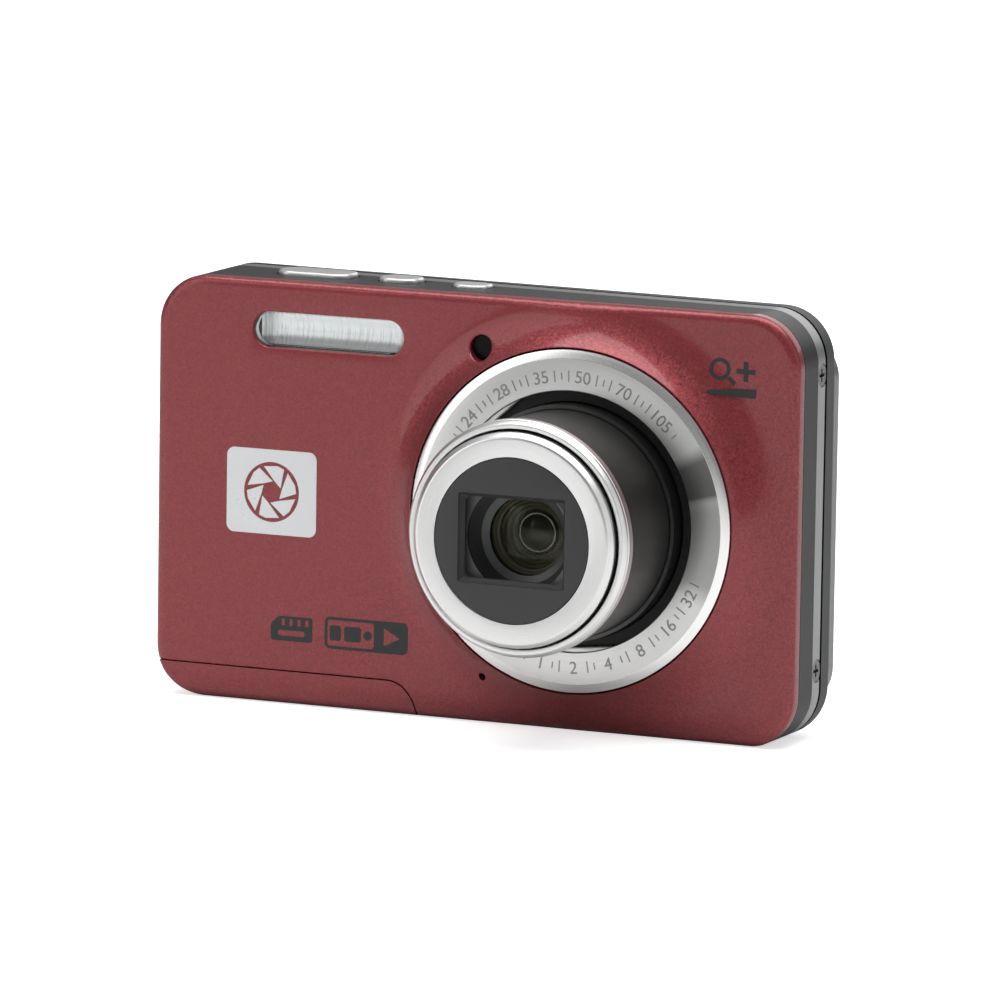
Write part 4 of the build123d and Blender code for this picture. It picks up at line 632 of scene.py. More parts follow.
def within(polygon, x, z):
    """Whether a point lies inside a closed outline."""
    hit = False
    for (ax, az), (bx, bz) in zip(polygon, polygon[1:] + polygon[:1]):
        if (az > z) != (bz > z) and x < (bx - ax) * (z - az) / (bz - az) + ax:
            hit = not hit
    return hit


INK_PROUD, BADGE_PROUD, PRINT_BURY = 0.03, 0.06, 0.15


def print_on_front(name, outlines, holes, material, proud=INK_PROUD):
    """Thin printed or applied shape that follows the front surface."""
    loops = [(o, True) for o in outlines + holes]

    def inside(x, z):
        drawn = sum(within(o, x, z) for o in outlines) % 2 == 1
        return drawn and not any(within(h, x, z) for h in holes)

    mesh = relief(loops, inside,
                  lambda x, z: shell_front(x, z) - proud, lambda x, z: shell_front(x, z) + PRINT_BURY)
    return piece(name, *mesh, BODY, material)


# Badge: plain plate with an iris of six blades.
BADGE_X, BADGE_Z, BADGE_W, BADGE_H, BADGE_R, IRIS_R = -28.8, 28.4, 13.05, 11.3, 1.1, 4.0
BLADE_IN_R, BLADE_OUT_R, BLADE_TURN, BLADE_SHARE = 1.45, 3.72, 15, 0.9


def iris_blades():
    """Six blades of the iris, each drawn in a little about its own middle."""
    blades = []
    for k in range(6):
        t = radians(60 * k + BLADE_TURN)
        corners = [(BLADE_IN_R, 60), (BLADE_OUT_R, 96), (BLADE_OUT_R, 62), (BLADE_OUT_R, 44), (BLADE_IN_R, 0)]
        blade = [(BADGE_X + r * cos(t + radians(a)), BADGE_Z + r * sin(t + radians(a))) for r, a in corners]
        cx = sum(p[0] for p in blade) / len(blade)
        cz = sum(p[1] for p in blade) / len(blade)
        blades.append([(cx + (x - cx) * BLADE_SHARE, cz + (z - cz) * BLADE_SHARE) for x, z in blade])
    return blades


print_on_front("badge_plate", [rounded(BADGE_X, BADGE_Z, BADGE_W, BADGE_H, BADGE_R)],
               [circle(BADGE_X, BADGE_Z, IRIS_R, 72)], badge_metal, BADGE_PROUD)
print_on_front("badge_iris", iris_blades(), [], badge_metal, BADGE_PROUD)

# Marks printed in dark ink: a card with contacts, a film frame with a play sign, a magnifier.
CARD = [(-28.7, 8.7), (-22.65, 8.7), (-22.65, 12.0), (-27.5, 12.0), (-28.7, 10.9)]
PIN_X, PIN_Z, PIN_STEP = -26.9, 11.2, 1.15
pins = [rounded(PIN_X + PIN_STEP * k, PIN_Z, 0.5, 0.9, 0.1, 3) for k in range(4)]
slot_line = rounded(-25.7, 9.75, 3.9, 0.75, 0.3, 4)
print_on_front("mark_card", [softened(CARD, 0.35, 3)], pins + [slot_line], ink)
VIDEO_X0, VIDEO_X1, VIDEO_Z0, VIDEO_Z1, VIDEO_SPLIT = -20.85, -8.8, 8.2, 12.45, -13.5
vx, vz = (VIDEO_X0 + VIDEO_X1) / 2, (VIDEO_Z0 + VIDEO_Z1) / 2
vw, vh = VIDEO_X1 - VIDEO_X0, VIDEO_Z1 - VIDEO_Z0
VIDEO_LINE, VIDEO_HALF_GAP = 0.4, 0.2
x0, z0 = VIDEO_X0 + VIDEO_LINE, VIDEO_Z0 + VIDEO_LINE
x1, z1 = VIDEO_SPLIT - VIDEO_HALF_GAP, VIDEO_Z1 - VIDEO_LINE
opening = [(x0, z0), (x1, z0), (x1, z1), (x0, z1)]
play = [(-12.3, 9.1), (-9.9, vz), (-12.3, 11.55)]
print_on_front("mark_video", [rounded(vx, vz, vw, vh, 0.8)],
               [softened(opening, 0.4, 4), softened(play, 0.25, 3)], ink)
reel = [rounded(-19.3, vz, 1.6, 2.0, 0.3, 4), rounded(-16.8, vz, 2.4, 2.0, 0.3, 4),
        circle(-14.6, vz, 0.6, 24)]
print_on_front("mark_reel", reel, [], ink)
ZOOM_X0, ZOOM_X1, ZOOM_Z0, ZOOM_Z1 = 33.35, 39.9, 47.55, 50.75
zx, zz = (ZOOM_X0 + ZOOM_X1) / 2, (ZOOM_Z0 + ZOOM_Z1) / 2
glass_x, glass_z, glass_r, glass_line = ZOOM_X0 + 1.5, zz + 0.15, 1.45, 0.5
tilt = radians(-42)
near, far, half = glass_r + 0.12, glass_r + 1.35, 0.27
handle = [(glass_x + u * cos(tilt) - v * sin(tilt), glass_z + u * sin(tilt) + v * cos(tilt))
          for u, v in ((near, -half), (far, -half), (far, half), (near, half))]
plus_x, plus_r, plus_w = ZOOM_X1 - 1.45, 1.3, 0.32
plus = [(plus_x + u, zz + v) for u, v in (
    (-plus_w, -plus_r), (plus_w, -plus_r), (plus_w, -plus_w), (plus_r, -plus_w), (plus_r, plus_w),
    (plus_w, plus_w), (plus_w, plus_r), (-plus_w, plus_r), (-plus_w, plus_w), (-plus_r, plus_w),
    (-plus_r, -plus_w), (-plus_w, -plus_w))]
frames = [circle(glass_x, glass_z, glass_r, 40), handle, plus]
wedge_bar = [(ZOOM_X0, 46.1), (ZOOM_X1, 45.75), (ZOOM_X1, 46.95), (ZOOM_X0, 46.6)]
print_on_front("mark_zoom", frames + [softened(wedge_bar, 0.12, 3)],
               [circle(glass_x, glass_z, glass_r - glass_line, 36)], ink)


# ---- lens ring
OPENING_R, BEVEL_R = 17.1, 21.3
RING_PLATE, RING_SKIRT, RING_WALL, RING_LIP = 1.1, 2.6, 0.9, 0.12
ring_profile = [
    (OPENING_R, RING_Y + RING_PLATE), (OPENING_R, RING_Y + RING_LIP), (OPENING_R + RING_LIP, RING_Y),
    (BEVEL_R, RING_Y), (BEVEL_R + 0.08, RING_Y + 0.02), (RING_R - 0.45, RING_Y + 0.22),
    (RING_R - 0.15, RING_Y + 0.36), (RING_R, RING_Y + 0.62), (RING_R, RING_Y + RING_SKIRT),
    (RING_R - RING_WALL, RING_Y + RING_SKIRT), (RING_R - RING_WALL, RING_Y + RING_PLATE),
]
ring = solid_of_turn("lens_bezel", ring_profile, BODY, ring_metal, ("lens_ring",), "ring_silver", 360)
ring.data.materials.append(bevel_metal)
for polygon in ring.data.polygons:
    r = hypot(polygon.center.x / MM - LENS_X, polygon.center.z / MM - LENS_Z)
    if r > BEVEL_R + 0.02:
        polygon.material_index = 1

TAB_ANGLES, TAB_HALF_ANGLE, TAB_PARTS = (131.5, -84.0), 17.5, 16
TAB_CHORD, TAB_R, TAB_DROP, TAB_ROUND, TAB_ROUND_D = 16.35, OPENING_R + 0.15, 0.42, 0.34, 0.3


def ring_tab(angle):
    """Small tab that reaches into the opening, with a straight rounded lip."""
    turn = radians(angle)
    turns = [turn + radians(-TAB_HALF_ANGLE + 2 * TAB_HALF_ANGLE * k / TAB_PARTS)
             for k in range(TAB_PARTS + 1)]
    rim = [(LENS_X + TAB_R * cos(t), LENS_Z + TAB_R * sin(t)) for t in turns]

    def along(x, z):
        return (x - LENS_X) * cos(turn) + (z - LENS_Z) * sin(turn)

    def in_tab(x, z):
        return along(x, z) > TAB_CHORD and axis_r(x, z) < TAB_R

    def tab_front(x, z):
        return RING_Y + TAB_DROP + roundover(max(along(x, z) - TAB_CHORD, 0), TAB_ROUND, TAB_ROUND_D)

    lips = []
    for offset in (0.0, 0.08, 0.2, TAB_ROUND):
        d = TAB_CHORD + offset
        span = sqrt(TAB_R**2 - d**2)
        lip = [(LENS_X + d * cos(turn) - s * sin(turn), LENS_Z + d * sin(turn) + s * cos(turn))
               for s in (-span, span)]
        lips.append((lip, False))
    return relief([(rim, True)] + lips, in_tab, tab_front, lambda x, z: RING_Y + RING_PLATE)


for number, angle in enumerate(TAB_ANGLES):
    piece(f"lens_bezel_tab_{number + 1}", *ring_tab(angle), BODY, ring_metal, (), "ring_silver")

NUMERAL_SIZE, NUMERAL_RAISED, NUMERAL_BEVEL = 2.3, 0.03, 0.012
UPPER_R, LOWER_R, TICK_R = 18.25, 19.9, 19.05
TICK_LONG, TICK_SHORT, TICK_WIDTH, TICK_RAISED = 1.5, 0.9, 0.16, 0.04
# Angle about the lens axis, and the number there.
UPPER_SCALE = ((139, "24"), (121, "28"), (103, "35"), (85, "50"), (67, "70"), (48, "105"))
LOWER_SCALE = ((-101, "1"), (-87, "2"), (-72, "4"), (-57, "8"), (-42, "16"), (-27, "32"))


def glyphs(text, size):
    """Flat outlines of built-in numerals as (vertices, faces), centred on their own middle."""
    curve = bpy.data.curves.new("numeral", "FONT")
    curve.body = text
    curve.size = size
    curve.extrude = NUMERAL_RAISED
    curve.bevel_depth = NUMERAL_BEVEL
    curve.align_x = "CENTER"
    holder = bpy.data.objects.new("numeral", curve)
    bpy.context.scene.collection.objects.link(holder)
    bpy.context.view_layer.update()
    mesh = holder.evaluated_get(bpy.context.evaluated_depsgraph_get()).to_mesh()
    verts = [tuple(v.co) for v in mesh.vertices]
    faces = [tuple(p.vertices) for p in mesh.polygons]
    bpy.data.objects.remove(holder)
    bpy.data.curves.remove(curve)
    return verts, faces


def scale_marks():
    """Numbers and ticks of two plain scales round the ring; the lower one reads from outside."""
    verts, faces = [], []

    def put(shape, angle, radius, flip=False):
        start = len(verts)
        t = radians(angle)
        out = Vector((cos(t), sin(t)))
        right = Vector((sin(t), -cos(t)))
        if flip:
            out, right = -out, -right
        centre = Vector((LENS_X + radius * cos(t), LENS_Z + radius * sin(t)))
        for x, y, depth in shape[0]:
            p = centre + right * x + out * y
            verts.append((p.x, RING_Y - depth, p.y))
        faces.extend(tuple(start + i for i in f) for f in shape[1])

    def tick(length):
        w, l, d = TICK_WIDTH / 2, length / 2, TICK_RAISED
        box = [(x, y, z) for z in (-d, d) for x, y in ((-w, -l), (w, -l), (w, l), (-w, l))]
        sides = [(0, 3, 2, 1), (4, 5, 6, 7), (0, 1, 5, 4), (1, 2, 6, 5), (2, 3, 7, 6), (3, 0, 4, 7)]
        return box, sides

    for numbers, radius, flip, angles, gap in (
            (UPPER_SCALE, UPPER_R, False, range(40, 150, 3), 5.5),
            (LOWER_SCALE, LOWER_R, True, range(-108, -20, 3), 4.8)):
        for angle, text in numbers:
            put(glyphs(text, NUMERAL_SIZE), angle, radius, flip)
        for angle in angles:
            if min(abs(angle - a) for a, _ in numbers) > gap:
                put(tick(TICK_LONG if angle % 2 else TICK_SHORT), angle, TICK_R)
    return verts, faces


piece("lens_bezel_scale", *scale_marks(), BODY, mark_metal, (), "ring_silver")

# ---- barrels
INNER_R, INNER_WALL, DISC_R = (inner_hi.x - inner_lo.x) / 2, 0.7, 10.75
RIM_R = (rim_hi.x - rim_lo.x) / 2
rim_profile = softened([
    (INNER_R + 0.25, rim_hi.y), (RIM_R - 0.35, rim_hi.y), (RIM_R, rim_hi.y - 0.5),
    (RIM_R, rim_lo.y + 0.95),
    (RIM_R - 0.12, rim_lo.y + 0.85), (RIM_R - 0.12, rim_lo.y + 0.6), (RIM_R - 0.55, rim_lo.y),
    (INNER_R + 0.4, rim_lo.y), (INNER_R + 0.25, rim_lo.y + 0.2)], 0.1, 3)
solid_of_turn("barrel_collar", rim_profile, BARREL, rim_metal, ("barrel_rim",), "barrel_silver", 300)
inner_profile = softened([
    (INNER_R - INNER_WALL, inner_hi.y), (INNER_R, inner_hi.y), (INNER_R, FACE_Y + 0.75),
    (INNER_R - 0.55, FACE_Y + 0.08), (INNER_R - 0.8, FACE_Y), (DISC_R + 0.06, FACE_Y),
    (DISC_R + 0.06, FACE_Y + 1.0), (INNER_R - INNER_WALL, FACE_Y + 1.0)], 0.12, 4)
solid_of_turn("lens_tube", inner_profile, FRONT_GROUP, rim_metal, ("inner_barrel",), "barrel_silver", 300)

WINDOW_W, WINDOW_H, SLOPE_W, SLOPE_D, WINDOW_STEP = 14.9, 11.7, 0.55, 0.85, 0.12
CHAMFER_RIGHT, CHAMFER_LEFT = 1.0, 0.5
PLATE_Y, PLATE_BACK = plate_lo.y, plate_hi.y
PLATE_R = (plate_hi.x - plate_lo.x) / 2


def plate_front(x, z):
    """Charcoal disc with a stepped, sloping border round the window."""
    if axis_r(x, z) > DISC_R:
        return PLATE_Y + 1.02
    near = slab_distance(x, z, LENS_X, LENS_Z, WINDOW_W, WINDOW_H, 0.25)
    edge = roundover(max(DISC_R - axis_r(x, z), 0), 0.15, 0.12)
    return PLATE_Y + edge + clamp(-near / SLOPE_W) * SLOPE_D + (WINDOW_STEP if near < 0 else 0)


def face_plate():
    """Mesh of the disc, with a window whose corners are cut off."""
    loops = [(circle(LENS_X, LENS_Z, r, 160), True) for r in
             (PLATE_R, DISC_R + 0.01, DISC_R, DISC_R - 0.04, DISC_R - 0.15)]
    for inset in (-0.02, 0.02, 0.3, SLOPE_W):
        width, height = WINDOW_W - 2 * inset, WINDOW_H - 2 * inset
        loops.append((rounded(LENS_X, LENS_Z, width, height, 0.28, 5), True))
    w, h = WINDOW_W / 2 - SLOPE_W, WINDOW_H / 2 - SLOPE_W
    a, b = CHAMFER_RIGHT, CHAMFER_LEFT
    hole = [(LENS_X + x, LENS_Z + z) for x, z in (
        (w - a, -h), (w, -h + a), (w, h - a), (w - a, h),
        (-w + b, h), (-w, h - b), (-w, -h + b), (-w + b, -h))]
    loops.append((hole, True))

    def inside(x, z):
        if axis_r(x, z) > PLATE_R:
            return False
        dx, dz = x - LENS_X, z - LENS_Z
        cut = a if dx > 0 else b
        in_hole = abs(dx) < w and abs(dz) < h and (w - abs(dx)) + (h - abs(dz)) > cut
        return not in_hole

    return relief(loops, inside, plate_front, lambda x, z: PLATE_BACK)


piece("lens_face", *face_plate(), FRONT_GROUP, SLOTS["face_black"], ("lens_face_plate",), "face_black", 20)

# Ribbed wall inside the window.
cell_lo, cell_hi = box_mm("lens_cell")
CELL_R, CELL_BORE, CELL_END_BORE, CELL_OUTER = (cell_hi.x - cell_lo.x) / 2, 7.15, 5.95, 8.6
CELL_FLANGE, RIBS, RIB_PITCH, RIB_STEP, RIB_DEPTH = 0.6, 7, 0.32, 0.17, 0.16
cell_profile = [(CELL_R, cell_lo.y + CELL_FLANGE), (CELL_R, cell_lo.y), (CELL_BORE, cell_lo.y)]
for k in range(RIBS):
    y = cell_lo.y + 0.2 + k * RIB_PITCH
    bore = CELL_BORE - 0.02 - k * RIB_STEP
    cell_profile += [(bore, y), (bore + RIB_DEPTH, y + 0.06), (bore + RIB_DEPTH, y + 0.24),
                     (bore - 0.1, y + 0.28)]
cell_profile += [(CELL_END_BORE, cell_lo.y + 2.5), (CELL_END_BORE, cell_hi.y),
                 (CELL_OUTER, cell_hi.y), (CELL_OUTER, cell_lo.y + CELL_FLANGE)]
cell = solid_of_turn("lens_cell_ribbed", cell_profile, FRONT_GROUP, SLOTS["cell_black"],
                     ("lens_cell",), "cell_black")
cell.data.materials.append(grained("cell_flange", (0.10, 0.102, 0.105), 0.45, 0.2, 8.0, 0.003))
for polygon in cell.data.polygons:
    polygon.material_index = int(polygon.center.y / MM < cell_lo.y + 0.02)
ret_lo, ret_hi = box_mm("lens_retainer")
RETAINER_IN, RETAINER_OUT = 5.15, 7.6
retainer = [
    (RETAINER_IN, ret_hi.y), (RETAINER_OUT, ret_hi.y), (RETAINER_OUT, ret_lo.y), (6.15, ret_lo.y),
    (6.05, ret_lo.y + 0.05), (5.3, ret_lo.y + 0.32), (RETAINER_IN, ret_lo.y + 0.4)]
solid_of_turn("lens_retainer_ring", retainer, FRONT_GROUP, SLOTS["retainer_grey"],
              ("lens_retainer",), "retainer_grey")

# Front lens, its stepped barrel and the second lens deep inside.
glass_lo, glass_hi = box_mm("front_lens")
GLASS_R, GLASS_RISE = 5.1, 0.9
sphere_r = (GLASS_R**2 + GLASS_RISE**2) / (2 * GLASS_RISE)


def dome_points(radius, apex_y, bend, count=14):
    """Spherical profile from the axis out to radius, bulging towards -Y."""
    result = []
    for k in range(count + 1):
        r = radius * k / count
        result.append((r, apex_y + (bend - sqrt(bend * bend - r * r))))
    return result


front_dome = dome_points(GLASS_R, glass_lo.y, sphere_r)
back_dome = dome_points(GLASS_R, glass_lo.y + 1.1, sphere_r * 0.8)
solid_of_turn("front_lens_glass", front_dome + back_dome[::-1], FRONT_GROUP, SLOTS["lens_glass"],
              ("front_lens",), "lens_glass", 160)
olive = spun("coating_olive", (0.075, 0.073, 0.060), 0.34, 5.0, 0.004, vary=0.5, anisotropy=0.2)
coating = olive.node_tree.nodes["Principled BSDF"]
# Painted glow: the olive coating emits a little of its own tone, standing in for light inside the lens though
# it is no lamp.
coating.inputs["Emission Color"].default_value = (0.30, 0.29, 0.235, 1.0)
coating.inputs["Emission Strength"].default_value = 0.06
olive_dark = spun("coating_olive_dark", (0.03, 0.034, 0.02), 0.28, 6.0, 0.004, vary=0.5, anisotropy=0.2)
pupil_ring = spun("pupil_ring", (0.62, 0.62, 0.58), 0.25, 8.0, 0.001, vary=0.1)
y0 = glass_lo.y + 1.6
stepped = [(5.2, y0), (5.0, y0), (4.75, y0 + 0.35), (4.55, y0 + 0.4), (4.35, y0 + 0.9), (4.1, y0 + 0.95),
           (3.9, y0 + 1.5), (3.6, y0 + 1.55), (3.4, y0 + 2.1), (3.15, y0 + 2.15), (3.0, y0 + 2.6),
           (3.0, y0 + 2.9), (5.2, y0 + 2.9)]
solid_of_turn("front_lens_barrel", stepped, FRONT_GROUP, olive, (), "cell_black", 160)
PUPIL_IN, PUPIL_OUT = 2.35, 2.62
pupil = softened([(PUPIL_IN, y0 + 2.3), (PUPIL_OUT, y0 + 2.3), (PUPIL_OUT, y0 + 2.75),
                  (PUPIL_IN, y0 + 2.75)], 0.1, 3)
solid_of_turn("pupil_rim", pupil, FRONT_GROUP, pupil_ring, (), "retainer_grey", 120)
pupil_wall = [(2.6, y0 + 2.74), (3.05, y0 + 2.62), (3.05, y0 + 2.93), (2.6, y0 + 2.93)]
solid_of_turn("pupil_wall", pupil_wall, FRONT_GROUP, olive_dark, (), "cell_black", 120)
second = dome_points(2.32, y0 + 1.7, 5.0)
second_back = dome_points(2.32, y0 + 2.5, 9.0)
deep = Finish("glass_deep")
deep.set(Metallic=0.0, Coat_Weight=0.8, Coat_Roughness=0.14, Coat_IOR=1.6)
tone = deep.noise(1.2, 3.0)
deep.colour(deep.mix(tone, (0.006, 0.010, 0.006), (0.022, 0.030, 0.018)))
deep.rough(deep.span(tone, 0.25, 0.35))
solid_of_turn("second_lens_glass", second + second_back[::-1], FRONT_GROUP, deep.material,
              (), "lens_glass", 120)


# ---- flash
COVER_GAP, COVER_R, COVER_ROUND, COVER_ROUND_D = 0.3, FLASH_H / 2 - 0.16, 0.5, 0.35
PRISM_PITCH, PRISM_RISE, PRISM_Y = 0.62, 0.08, flash_hi.y - 0.5


def cover_distance(x, z):
    """Distance outside the clear cover; negative inside."""
    return slab_distance(x, z, FLASH_X, FLASH_Z, FLASH_W - COVER_GAP, FLASH_H - COVER_GAP, COVER_R)


def flash_front(x, z):
    """Smooth outer face of the clear cover, rounded at its edge."""
    return flash_lo.y + roundover(max(-cover_distance(x, z), 0), COVER_ROUND, COVER_ROUND_D)


def flash_back(x, z):
    """Inner face of the clear cover, with evenly spaced upright prisms."""
    phase = ((x - FLASH_X) / PRISM_PITCH) % 1.0
    return PRISM_Y + PRISM_RISE * abs(2 * phase - 1)


def flash_cover():
    """Mesh of the clear cover."""
    loops = []
    for inset in (0, 0.05, 0.15, 0.3, COVER_ROUND):
        width, height = FLASH_W - COVER_GAP - 2 * inset, FLASH_H - COVER_GAP - 2 * inset
        loops.append((rounded(FLASH_X, FLASH_Z, width, height, COVER_R - inset, 16), True))
    x = FLASH_X - FLASH_W / 2
    while x < FLASH_X + FLASH_W / 2:
        loops.append(([(x, FLASH_Z - 3), (x, FLASH_Z + 3)], False))
        x += PRISM_PITCH / 2
    return relief(loops, lambda x, z: cover_distance(x, z) < 0, flash_front, flash_back)


piece("flash_cover", *flash_cover(), BODY, SLOTS["flash_clear"], ("flash_window",), "flash_clear", 25)


def trough_painted_light_finish():
    """Bright pressed reflector with upright streaks; shade is painted darker towards the lower lip, the top
    edge and the ends, and a painted glow comes from emission.
    """
    f = Finish("reflector_trough_painted_light")
    x, _, z = f.axes(f.space)
    height = f.math("DIVIDE", f.math("SUBTRACT", z, FLASH_Z - FLASH_H / 2), FLASH_H)
    along = f.math("ABSOLUTE", f.math("DIVIDE", f.math("SUBTRACT", x, FLASH_X), FLASH_W / 2), 0)
    # Painted shade and light by height: dark along the lower lip, brightest above the middle, darker at the
    # top.
    painted_height_shade = f.ramp(height, [(0.0, (0.16,) * 3), (0.2, (0.30,) * 3), (0.3, (0.80,) * 3), (0.62, (0.92,) * 3),
                            (0.85, (0.86,) * 3), (1.0, (0.45,) * 3)])
    # Painted shade towards both ends of the trough.
    ends = f.ramp(along, [(0.0, (1.0,) * 3), (0.80, (1.0,) * 3), (0.87, (0.55,) * 3), (1.0, (0.7,) * 3)])
    streak = f.noise(1.0, 3.0, f.vector("MULTIPLY", f.space, (7, 0.2, 0.15)))
    lines = f.ramp(streak, [(0.36, (0.72, 0.73, 0.74)), (0.5, (0.95, 0.96, 0.96)), (0.64, (1.0,) * 3)])
    tone = f.mix(1.0, f.mix(1.0, painted_height_shade, ends, "MULTIPLY"), lines, "MULTIPLY")
    f.colour(tone)
    # Painted glow: the reflector emits its own tone though it is no lamp.
    f.join(tone, f.shader.inputs["Emission Color"])
    f.set(Metallic=0.2, Emission_Strength=0.50)
    f.rough(f.span(streak, 0.22, 0.4))
    f.normal(f.bump(streak, 0.02))
    return f.material


TROUGH_COLUMNS, TROUGH_ROWS, TROUGH_INSET, TROUGH_LIP = 72, 14, 0.35, 0.2
TROUGH_DEPTH, TROUGH_SQUASH, TROUGH_SHEET, TROUGH_Y = 2.6, 0.8, 0.22, flash_hi.y + 0.12
TROUGH_RIB, TROUGH_END_RISE, TROUGH_PLAIN_END = 0.03, 9, 0.02


def flash_trough():
    """Pressed reflector close behind the cover: an upright-ribbed trough of even thickness."""
    columns, rows = TROUGH_COLUMNS, TROUGH_ROWS
    verts, faces = [], []
    for c in range(columns + 1):
        x = FLASH_X - FLASH_W / 2 + TROUGH_INSET + (FLASH_W - 2 * TROUGH_INSET) * c / columns
        for r in range(rows + 1):
            t = -1 + 2 * r / rows
            z = FLASH_Z + t * (FLASH_H / 2 - TROUGH_LIP)
            end = min(c, columns - c) / columns
            depth = TROUGH_DEPTH * sqrt(max(0.0, 1 - t * t)) * min(1.0, end * TROUGH_END_RISE)
            rib = TROUGH_RIB * (1 if c % 2 else -1) * (1 if end > TROUGH_PLAIN_END else 0)
            verts.append((x, TROUGH_Y + depth * TROUGH_SQUASH + rib * (1 - abs(t)), z))
    count = rows + 1
    total = len(verts)
    verts += [(x, y + TROUGH_SHEET, z) for x, y, z in verts]
    for c in range(columns):
        for r in range(rows):
            a = c * count + r
            b = a + total
            faces.append((a, a + count, a + count + 1, a + 1))
            faces.append((b + 1, b + count + 1, b + count, b))
    rim_loop = [c * count for c in range(columns + 1)] + [columns * count + r for r in range(1, rows + 1)]
    rim_loop += [c * count + rows for c in range(columns - 1, -1, -1)] + [r for r in range(rows - 1, 0, -1)]
    for a, b in zip(rim_loop, rim_loop[1:] + rim_loop[:1]):
        faces.append((b, a, a + total, b + total))
    return verts, faces


piece("flash_trough", *flash_trough(), BODY, trough_painted_light_finish(), ("flash_reflector",), "reflector", 30)


# ---- rear symbols
REAR_SLOPE, SYMBOL_BURY, SYMBOL_PROUD = -0.0435, 0.1, 0.03


def rear_symbol(name, node, body, shapes, holes=(), material=symbol_white, rim=0.95):
    """Flat printed shape on a rear key; outlines about its centre, rim is flange plus edge round."""
    lo, hi = box_mm(node)
    middle = Vector(((lo.x + hi.x) / 2, 0, (lo.z + hi.z) / 2))
    top = hi.y + REAR_SLOPE * ((hi.x - lo.x) / 2 - rim)

    def surface(x, z):
        return top + REAR_SLOPE * (x - middle.x)

    outlines = [[(middle.x - u, middle.z + v) for u, v in shape] for shape in shapes]
    inner = [[(middle.x - u, middle.z + v) for u, v in shape] for shape in holes]
    loops = [(o[::-1], True) for o in outlines + inner]

    def inside(x, z):
        return any(within(o, x, z) for o in outlines) and not any(within(h, x, z) for h in inner)

    mesh = relief(loops, inside,
                  lambda x, z: surface(x, z) - SYMBOL_BURY, lambda x, z: surface(x, z) + SYMBOL_PROUD)
    return piece(name, *mesh, body, material)


def bar(x0, z0, x1, z1):
    return [(x0, z0), (x1, z0), (x1, z1), (x0, z1)]


record_red = grained("print_red", (0.55, 0.03, 0.03), 0.4, 0.0, 8.0, 0.001, 0.1)
rear_symbol("symbol_record", "record_button", "record_key", [circle(0, 0, 0.75, 32)], (), record_red)
rear_symbol("symbol_playback", "playback_button", "playback_key", [[(-0.6, -0.85), (0.9, 0.0), (-0.6, 0.85)]])
rear_symbol("symbol_menu", "menu_button", "menu_key",
            [bar(-0.9, 0.45, 0.9, 0.7), bar(-0.9, -0.12, 0.9, 0.12), bar(-0.9, -0.7, 0.9, -0.45)])
rear_symbol("symbol_delete", "delete_button", "delete_key",
            [bar(-0.9, 0.6, 0.9, 0.82), [(-0.7, 0.45), (0.7, 0.45), (0.5, -0.9), (-0.5, -0.9)]],
            [bar(-0.3, -0.7, -0.12, 0.25), bar(0.12, -0.7, 0.3, 0.25)])
rear_symbol("symbol_ok", "ok_button", "ok_key", [circle(0, 0, 1.5, 40)], [circle(0, 0, 1.2, 40)],
            rim=0.4)
ARROW_OUT, ARROW_IN, ARROW_HALF = 6.1, 5.2, 0.65
arrows = []
for turn in (0, 90, 180, 270):
    c, d = cos(radians(turn)), sin(radians(turn))
    arrows.append([(u * c - v * d, u * d + v * c) for u, v in
                   ((ARROW_OUT, 0), (ARROW_IN, ARROW_HALF), (ARROW_IN, -ARROW_HALF))])
rear_symbol("symbol_arrows", "nav_ring", "nav_ring", arrows, rim=1.3)
rear_symbol("symbol_zoom", "zoom_rocker", "zoom_rocker",
            [bar(-4.7, -0.14, -3.3, 0.14), bar(3.3, -0.14, 4.7, 0.14),
             bar(3.86, 0.14, 4.14, 0.7), bar(3.86, -0.7, 4.14, -0.14)], rim=0.5)

# ---- camera, floor and light
VIEW_AZ, VIEW_EL, VIEW_ROLL = radians(23.93), radians(8.77), radians(0.89)
VIEW_DISTANCE, SIDE_OFFSET, UP_OFFSET = 1.198, -0.00107, 0.00031
FOCAL_MM, SENSOR_MM = 325.8, 36.0
forward = Vector((-sin(VIEW_AZ) * cos(VIEW_EL), cos(VIEW_AZ) * cos(VIEW_EL), -sin(VIEW_EL)))
level = Vector((cos(VIEW_AZ), sin(VIEW_AZ), 0))
above = level.cross(forward)
right = level * cos(VIEW_ROLL) + above * sin(VIEW_ROLL)
upward = -level * sin(VIEW_ROLL) + above * cos(VIEW_ROLL)
aim = Vector((0, 0, MID_Z * MM))
place = aim - right * SIDE_OFFSET - upward * UP_OFFSET - forward * VIEW_DISTANCE
lens_data = bpy.data.cameras.new("viewpoint")
lens_data.sensor_width = SENSOR_MM
lens_data.lens = FOCAL_MM
lens_data.clip_start, lens_data.clip_end = 0.01, 50.0
viewpoint = bpy.data.objects.new("viewpoint", lens_data)
bpy.context.scene.collection.objects.link(viewpoint)
viewpoint.matrix_world = (
    Matrix.Translation(place) @ Matrix((right, upward, -forward)).transposed().to_4x4())
bpy.context.scene.camera = viewpoint

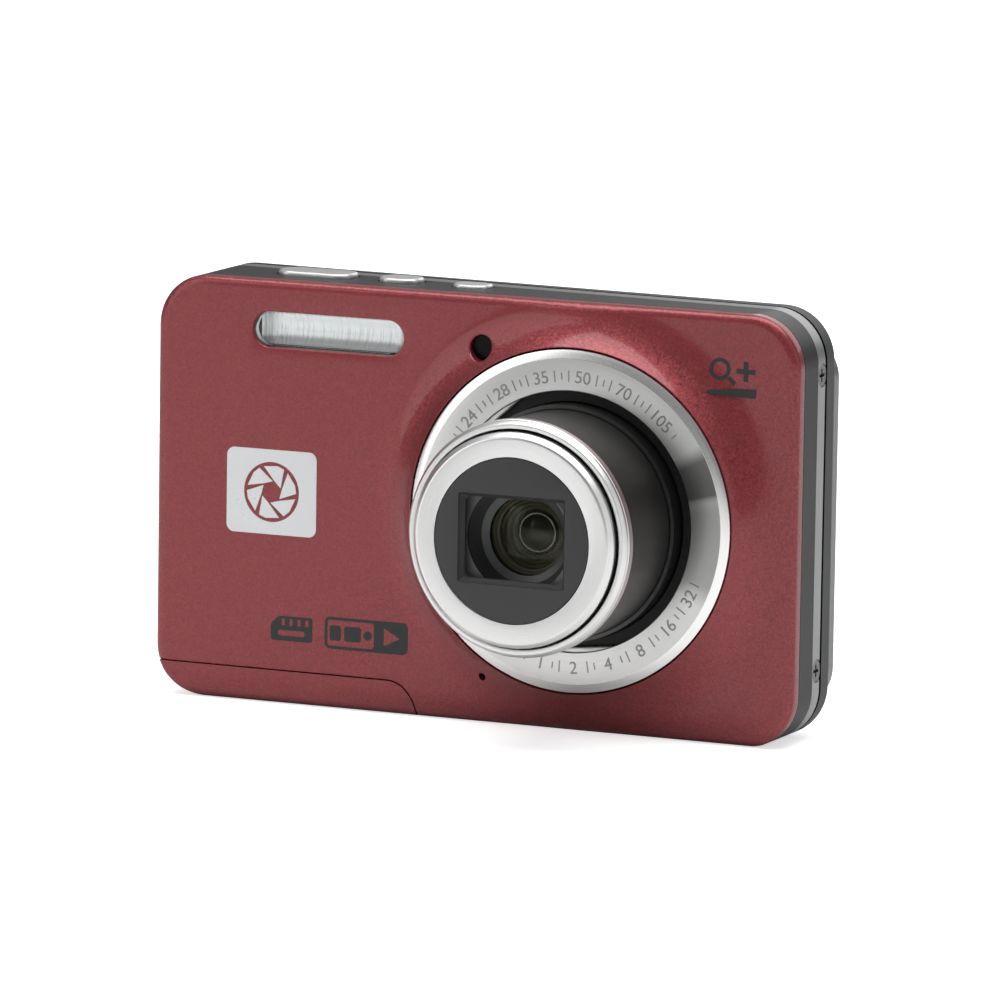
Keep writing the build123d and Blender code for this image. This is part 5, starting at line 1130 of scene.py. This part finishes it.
FLOOR_HALF, FLOOR_GLOW = 6.0, 0.62
floor_finish = Finish("floor_paper")
paper = floor_finish.noise(0.6, 3.0)
floor_finish.colour(floor_finish.mix(paper, (0.86, 0.86, 0.86), (0.90, 0.90, 0.90)))
floor_finish.rough(floor_finish.span(paper, 0.85, 0.95))
floor_finish.set(Specular_IOR_Level=0.1)
seen = floor_finish.add("ShaderNodeLightPath")
floor_finish.shader.inputs["Emission Color"].default_value = (1, 1, 1, 1)
floor_finish.join(floor_finish.math("MULTIPLY", seen.outputs["Is Camera Ray"], FLOOR_GLOW),
                  floor_finish.shader.inputs["Emission Strength"])
half = FLOOR_HALF
ground = bpy.data.meshes.new("floor")
ground.from_pydata([(-half, -half, 0), (half, -half, 0), (half, half, 0), (-half, half, 0)], [],
                   [(0, 1, 2, 3)])
floor = bpy.data.objects.new("floor", ground)
bpy.context.scene.collection.objects.link(floor)
ground.materials.append(floor_finish.material)


def softbox(name, at, to, width, height, power):
    """White rectangular light aimed at a point; sizes in metres, power in watts."""
    data = bpy.data.lights.new(name, "AREA")
    data.shape = "RECTANGLE"
    data.size, data.size_y = width, height
    data.energy = power
    lamp = bpy.data.objects.new(name, data)
    bpy.context.scene.collection.objects.link(lamp)
    lamp.location = at
    lamp.rotation_mode = "QUATERNION"
    lamp.rotation_quaternion = (Vector(to) - Vector(at)).to_track_quat("-Z", "Y")
    lamp.visible_camera = False


softbox("overhead", (0.05, -0.12, 0.75), (0, 0, 0.03), 0.9, 0.6, 5.8)
softbox("key_left", (-0.75, -0.75, 0.40), (0, 0, 0.03), 0.6, 0.8, 2.0)
softbox("fill_right", (0.9, -0.25, 0.25), (0, 0, 0.03), 0.5, 0.5, 0.5)
softbox("back_light", (0.1, 0.8, 0.45), (0, 0, 0.04), 0.9, 0.5, 1.8)

# Soft surround: brightness by height, from straight down to straight up; plain white to the camera.
SKY = ((0.0, 0.34), (0.47, 0.28), (0.53, 0.17), (0.72, 0.26), (1.0, 0.6))
world = bpy.data.worlds.new("studio")
bpy.context.scene.world = world
world.use_nodes = True
sky = Wires(world.node_tree)
background = sky.tree.nodes["Background"]
across = sky.axes(sky.add("ShaderNodeTexCoord").outputs["Generated"])
height = sky.add("ShaderNodeMapRange")
height.inputs["From Min"].default_value = -1.0
sky.join(across["Z"], height.inputs["Value"])
glow = sky.ramp(height.outputs["Result"], [(position, (v, v, v)) for position, v in SKY])
to_camera = sky.add("ShaderNodeLightPath").outputs["Is Camera Ray"]
sky.join(sky.mix(to_camera, glow, (1, 1, 1)), background.inputs["Color"])
background.inputs["Strength"].default_value = 1.0
bpy.context.scene.view_settings.view_transform = "Standard"
